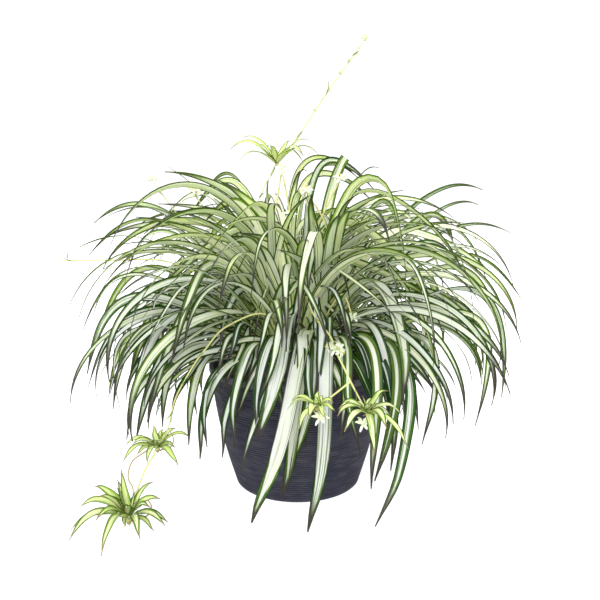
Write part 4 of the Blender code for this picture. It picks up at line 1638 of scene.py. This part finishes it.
class PLANT_OT_stems(bpy.types.Operator):
    """Draws out the runners, the flower stalks and the old stalks inside the plant"""

    bl_idname = "spider_plant.stems"
    bl_label = "Runners and stalks"

    def execute(self, context):
        settings = context.scene.plant_stem
        skin = stem_material("Runner skin", settings)
        draw = random.Random(41)
        bracts = Shape()
        for name, (radius, _) in STEMS.items():
            shape = Shape()
            route = stem_route(name)
            self.stem(shape, route, radius, 0.75 if "flower" in name else 0.15, settings)
            self.bracts(bracts, route, draw)
            shape.piece(f"skin_{name}", skin, "runner", name)
        shape = Shape()
        for spots in OLD_STALKS:
            route = smooth_route([table_point(*spot) for spot in spots], 50)
            self.stem(shape, route, OLD_STALK, 0.05, settings)
        shape.piece("old_stalks", skin, "runner")
        shape = Shape()
        for spots in DRY_ROOTS:
            line = with_directions(smooth_route([table_point(*spot) for spot in spots], 40))
            shape.tube(line, lambda t: DRY_ROOT * (1 - 0.5 * t), (0.0, 0.2, 0.7))
        shape.piece("dry_roots", skin, "runner")
        bracts.piece("runner_bracts", plantlet_material(context.scene.plant_plantlet), "plantlet")
        return {"FINISHED"}

    def nodes(self, route):
        """Shares along a route where it has nodes."""
        length = sum((b - a).length for a, b in zip(route, route[1:]))
        count = max(int(length / STEM_NODES), 1)
        return [(i + 0.6) / count for i in range(count)]

    def stem(self, shape, route, radius, green, settings):
        """A tapering stem that swells a little at its nodes."""
        nodes = self.nodes(route)
        line = with_directions(route)

        def near(t):
            return max(math.exp(-(((t - node) / 0.012) ** 2)) for node in nodes)

        def radius_at(t):
            return radius * (0.85 - 0.25 * t) * (1 + settings.swelling * near(t))

        shape.tube(line, radius_at, lambda t: (0.0, min(green + 0.3 * (1 - t), 1), 0.35 * near(t)), 10)

    def bracts(self, shape, route, draw):
        """A narrow bract at each node."""
        line = with_directions(route)
        for node in self.nodes(route):
            point, direction, _ = line[round(node * (len(line) - 1))]
            side = side_of(direction, draw)
            length = draw.uniform(0.010, 0.022)
            middle = point + (direction * 0.55 + side * 0.22) * length
            tip = point + (direction * 0.85 + side * 0.62) * length
            traits = (draw.random(), draw.uniform(0.6, 1.0), draw.uniform(0.2, 0.6))
            half_at = short_half(0.3, draw.uniform(0.0022, 0.0034))
            form = (0.0005, 0.6, 0.05, 0.2)
            bract = leaf_line(point, middle, tip, 12)
            shape.blade(bract, direction.cross(side), half_at, form, traits, draw)


class PLANT_OT_plantlets(bpy.types.Operator):
    """Grows the plantlets and the tuft on the flower stalk, with their root nubs"""

    bl_idname = "spider_plant.plantlets"
    bl_label = "Plantlets"

    def execute(self, context):
        settings = context.scene.plant_plantlet
        skin = plantlet_material(settings)
        bark = stem_material("Runner skin", context.scene.plant_stem)
        draw = random.Random(53)
        for name, (spot, core, blades, more) in ROSETTES.items():
            centre = table_point(*spot)
            core = core / 1000
            light, stripe, margin = BLADE_FINISH[name]
            shape = Shape(margin)
            for blade in blades + more:
                self.blade(shape, centre, core, blade, light, stripe, draw)
            usual = sum(length for _, _, length, _ in blades) / len(blades)
            for i in range(YOUNG_BLADES.get(name, settings.extra)):
                azimuth = math.degrees(i * GOLDEN_ANGLE) + draw.uniform(-20, 20)
                young = (azimuth, draw.uniform(12, 78), usual * draw.uniform(0.4, 0.75), draw.uniform(5, 7))
                self.blade(shape, centre, core, young, light, stripe, draw)
            shape.piece(f"blades_{name}", skin, "plantlet", name)
            self.heart(centre, core, draw).piece(f"heart_{name}", bark, "runner")
        return {"FINISHED"}

    def blade(self, shape, centre, core, blade, light, stripe, draw):
        """One blade of a rosette."""
        azimuth, rise, length, width = blade
        length = length / 1000
        outward = place(azimuth, 1, 0)
        level = math.cos(math.radians(rise))
        launch = outward * level + UP * math.sin(math.radians(rise))
        foot = centre + launch * (core * BLADE_FOOT)
        tip = foot + launch * length - UP * (BLADE_DROOP * length * level)
        tip.z = max(tip.z, LOWEST_TIP)
        middle = foot + launch * (length * BLADE_MIDDLE)
        traits = (draw.random(), draw.uniform(*light), draw.uniform(*stripe))
        form = (0.0007, 0.5, 0.08, draw.uniform(0.1, 0.9) * outward.x)
        half_at = short_half(0.12, width / 1000 * PLANTLET_BREADTH, 3)
        shape.blade(leaf_line(foot, middle, tip, 26), UP.cross(outward), half_at, form, traits, draw, 0.006)

    def heart(self, centre, core, draw):
        """The knob that the blades spring from, with stubby roots under it."""
        shape = Shape()
        line = with_directions([centre + UP * core * (i / 6 - 1) for i in range(13)])

        def knob(t):
            return core * (0.2 + 0.45 * math.sin(math.pi * (0.08 + 0.84 * t)))

        shape.tube(line, knob, lambda t: (0.0, 0.5, 0.8 * (1 - t)), 12)
        for i in range(5):
            turn = math.degrees(i * GOLDEN_ANGLE) + draw.uniform(-15, 15)
            start = centre + place(turn, core * 0.4, -core * 0.35)
            end = start + place(turn, core * 0.8, -core * draw.uniform(0.5, 0.9))
            end.z = max(end.z, LOWEST_TIP)
            knee = start.lerp(end, 0.5) + place(turn, core * 0.15, 0)
            root = with_directions(smooth_route([start, knee, end], 8))
            shape.tube(root, lambda t: core * 0.16 * (1 - 0.6 * t), (0.0, 0.0, 0.5))
        return shape


class PLANT_OT_flowers(bpy.types.Operator):
    """Opens the small white flowers and sets the buds along the tall stalk"""

    bl_idname = "spider_plant.flowers"
    bl_label = "Flowers and buds"

    def execute(self, context):
        settings = context.scene.plant_flower
        skin = petal_material("Petal skin", settings)
        draw = random.Random(61)
        for name, (spot, open_count, bud_count) in FLOWERS.items():
            shape = Shape()
            self.cluster(shape, table_point(*spot), open_count, bud_count, settings, draw)
            shape.piece(f"bloom_{name}", skin, "petal", name)
        shape = Shape()
        for spots in OLD_STALKS:
            self.cluster(shape, table_point(*spots[-1]), 1, 2, settings, draw)
        shape.piece("old_stalk_blooms", skin, "petal")
        shape = Shape()
        line = with_directions(stem_route("flower_stalk_upper"))
        for share in BUD_PLACES:
            point, direction, _ = line[round(share * (len(line) - 1))]
            for _ in range(3):
                self.bud(shape, point, direction, side_of(direction, draw), draw)
        shape.piece("stalk_buds", skin, "petal")
        shape = Shape()
        for rosette, spot in PLANTLET_FLOWERS.items():
            end = table_point(*spot)
            stalk = straight(table_point(*ROSETTES[rosette][0]), end, 6)
            shape.tube(stalk, 0.0006, (0.0, 0.8, 0.0))
            self.cluster(shape, end, 1, 3, settings, draw)
        shape.piece("plantlet_blooms", skin, "petal")
        return {"FINISHED"}

    def cluster(self, shape, centre, open_count, bud_count, settings, draw):
        """Open flowers and buds that spring from one place; the first flower faces up and forward."""
        for i in range(open_count):
            if i == 0:
                self.flower(shape, centre, Vector((0, -0.6, 0.8)), 1.0, settings, draw)
                continue
            axis = place(math.degrees(i * GOLDEN_ANGLE) - 90, 1, draw.uniform(-0.2, 0.8)).normalized()
            self.flower(shape, centre + axis * 0.006, axis, draw.uniform(0.75, 0.95), settings, draw)
        for i in range(bud_count):
            side = place(math.degrees(i * GOLDEN_ANGLE), 1, draw.uniform(-0.6, 0.4)).normalized()
            self.bud(shape, centre + side * 0.001, UP, side, draw)

    def flower(self, shape, centre, axis, size, settings, draw):
        """Six petals in two rings round six stamens, all facing along an axis."""
        turned = UP.rotation_difference(axis).to_matrix()
        for i in range(6):
            outward = turned @ place(60 * i + draw.uniform(-8, 8), 1, 0)
            rise = math.radians(34 if i % 2 else 22)
            launch = outward * math.cos(rise) + axis * math.sin(rise)
            length = settings.petal_length * size * draw.uniform(0.88, 1.0)
            width = settings.petal_width * size * (1 if i % 2 else 0.8)
            foot = centre + launch * 0.001
            middle = foot + launch * (length * 0.5)
            tip = foot + launch * length - axis * (0.35 * length * math.cos(rise))
            line = leaf_line(foot, middle, tip, 14)
            traits = (draw.random(), 0.0, 0.0)
            form = (0.00035, 0.35, 0.1, 0.0)
            shape.blade(line, axis.cross(outward), lambda t, w=width: petal_half(t, w), form, traits, draw)
        for i in range(6):
            out = turned @ place(60 * i + 30, 1, 0)
            root = centre + axis * 0.0005
            end = root + (out * 0.0022 + axis * 0.0058) * size
            shape.tube(straight(root, end, 4), 0.00016, (0.0, 0.3, 0.0), 6)
            pod = (out * 0.3 + axis) * 0.0022
            self.spindle(shape, end, pod, 0.2, (0.00012, 0.00038), (0.0, 0.0, 1.0), 7)
        self.spindle(shape, centre, axis * 0.0024, 0.6, (0.0004, 0.0011), (0.0, 0.8, 0.0), 9)

    @staticmethod
    def spindle(shape, point, run, behind, radii, traits, sides):
        """A rod that swells in its middle; a share of its run lies behind the point."""
        line = with_directions([point + run * (k / 6 - behind) for k in range(7)])
        thin, swell = radii

        def fat(t):
            return thin + swell * math.sin(math.pi * min(max(t, 0.05), 0.95))

        shape.tube(line, fat, traits, sides)

    def bud(self, shape, point, direction, side, draw):
        """A pointed bud on a short stalk."""
        length = draw.uniform(0.0045, 0.0085)
        root = point + side * 0.0006
        lean = (direction * 0.8 + side * 0.75).normalized()
        fat = draw.uniform(0.0008, 0.0014)
        green = draw.uniform(0.2, 0.9)

        def radius(t):
            return 0.0003 + fat * math.sin(math.pi * min(max((t - 0.25) / 0.75, 0), 1)) ** 0.8

        line = straight(root, root + lean * length, 9)
        shape.tube(line, radius, lambda t: (0.0, max(green, 1 - 2 * t), 0.0), 9)


# ---------------------------------------------------------------- panel and registration

SETTINGS = {
    "plant_pot": PotSettings,
    "plant_soil": SoilSettings,
    "plant_crown": CrownSettings,
    "plant_leaf": LeafSettings,
    "plant_stem": StemSettings,
    "plant_plantlet": PlantletSettings,
    "plant_flower": FlowerSettings,
    "plant_stage": StageSettings,
}
OPERATORS = (
    PLANT_OT_stage,
    PLANT_OT_pot,
    PLANT_OT_soil,
    PLANT_OT_crown,
    PLANT_OT_leaves,
    PLANT_OT_more_leaves,
    PLANT_OT_fountain,
    PLANT_OT_stems,
    PLANT_OT_plantlets,
    PLANT_OT_flowers,
)


class PLANT_PT_panel(bpy.types.Panel):
    """Lists the plant's settings and the steps that make it"""

    bl_idname = "PLANT_PT_panel"
    bl_label = "Spider Plant"
    bl_space_type = "VIEW_3D"
    bl_region_type = "UI"
    bl_category = "Spider Plant"

    def draw(self, context):
        for operator in OPERATORS:
            self.layout.operator(operator.bl_idname)
        for name, group in SETTINGS.items():
            box = self.layout.box()
            box.label(text=name.replace("_", " ").capitalize())
            for value in group.__annotations__:
                box.prop(getattr(context.scene, name), value)


def register():
    for group in SETTINGS.values():
        bpy.utils.register_class(group)
    for operator in OPERATORS:
        bpy.utils.register_class(operator)
    bpy.utils.register_class(PLANT_PT_panel)
    for name, group in SETTINGS.items():
        setattr(bpy.types.Scene, name, PointerProperty(type=group))


def unregister():
    for name in SETTINGS:
        delattr(bpy.types.Scene, name)
    bpy.utils.unregister_class(PLANT_PT_panel)
    for kind in (*reversed(OPERATORS), *reversed(SETTINGS.values())):
        bpy.utils.unregister_class(kind)


def main():
    """Makes the whole plant."""
    register()
    make = bpy.ops.spider_plant
    make.stage()
    make.pot()
    make.soil()
    make.crown()
    make.leaves()
    make.more_leaves()
    make.fountain()
    make.stems()
    make.plantlets()
    make.flowers()


if __name__ == "__main__":
    main()
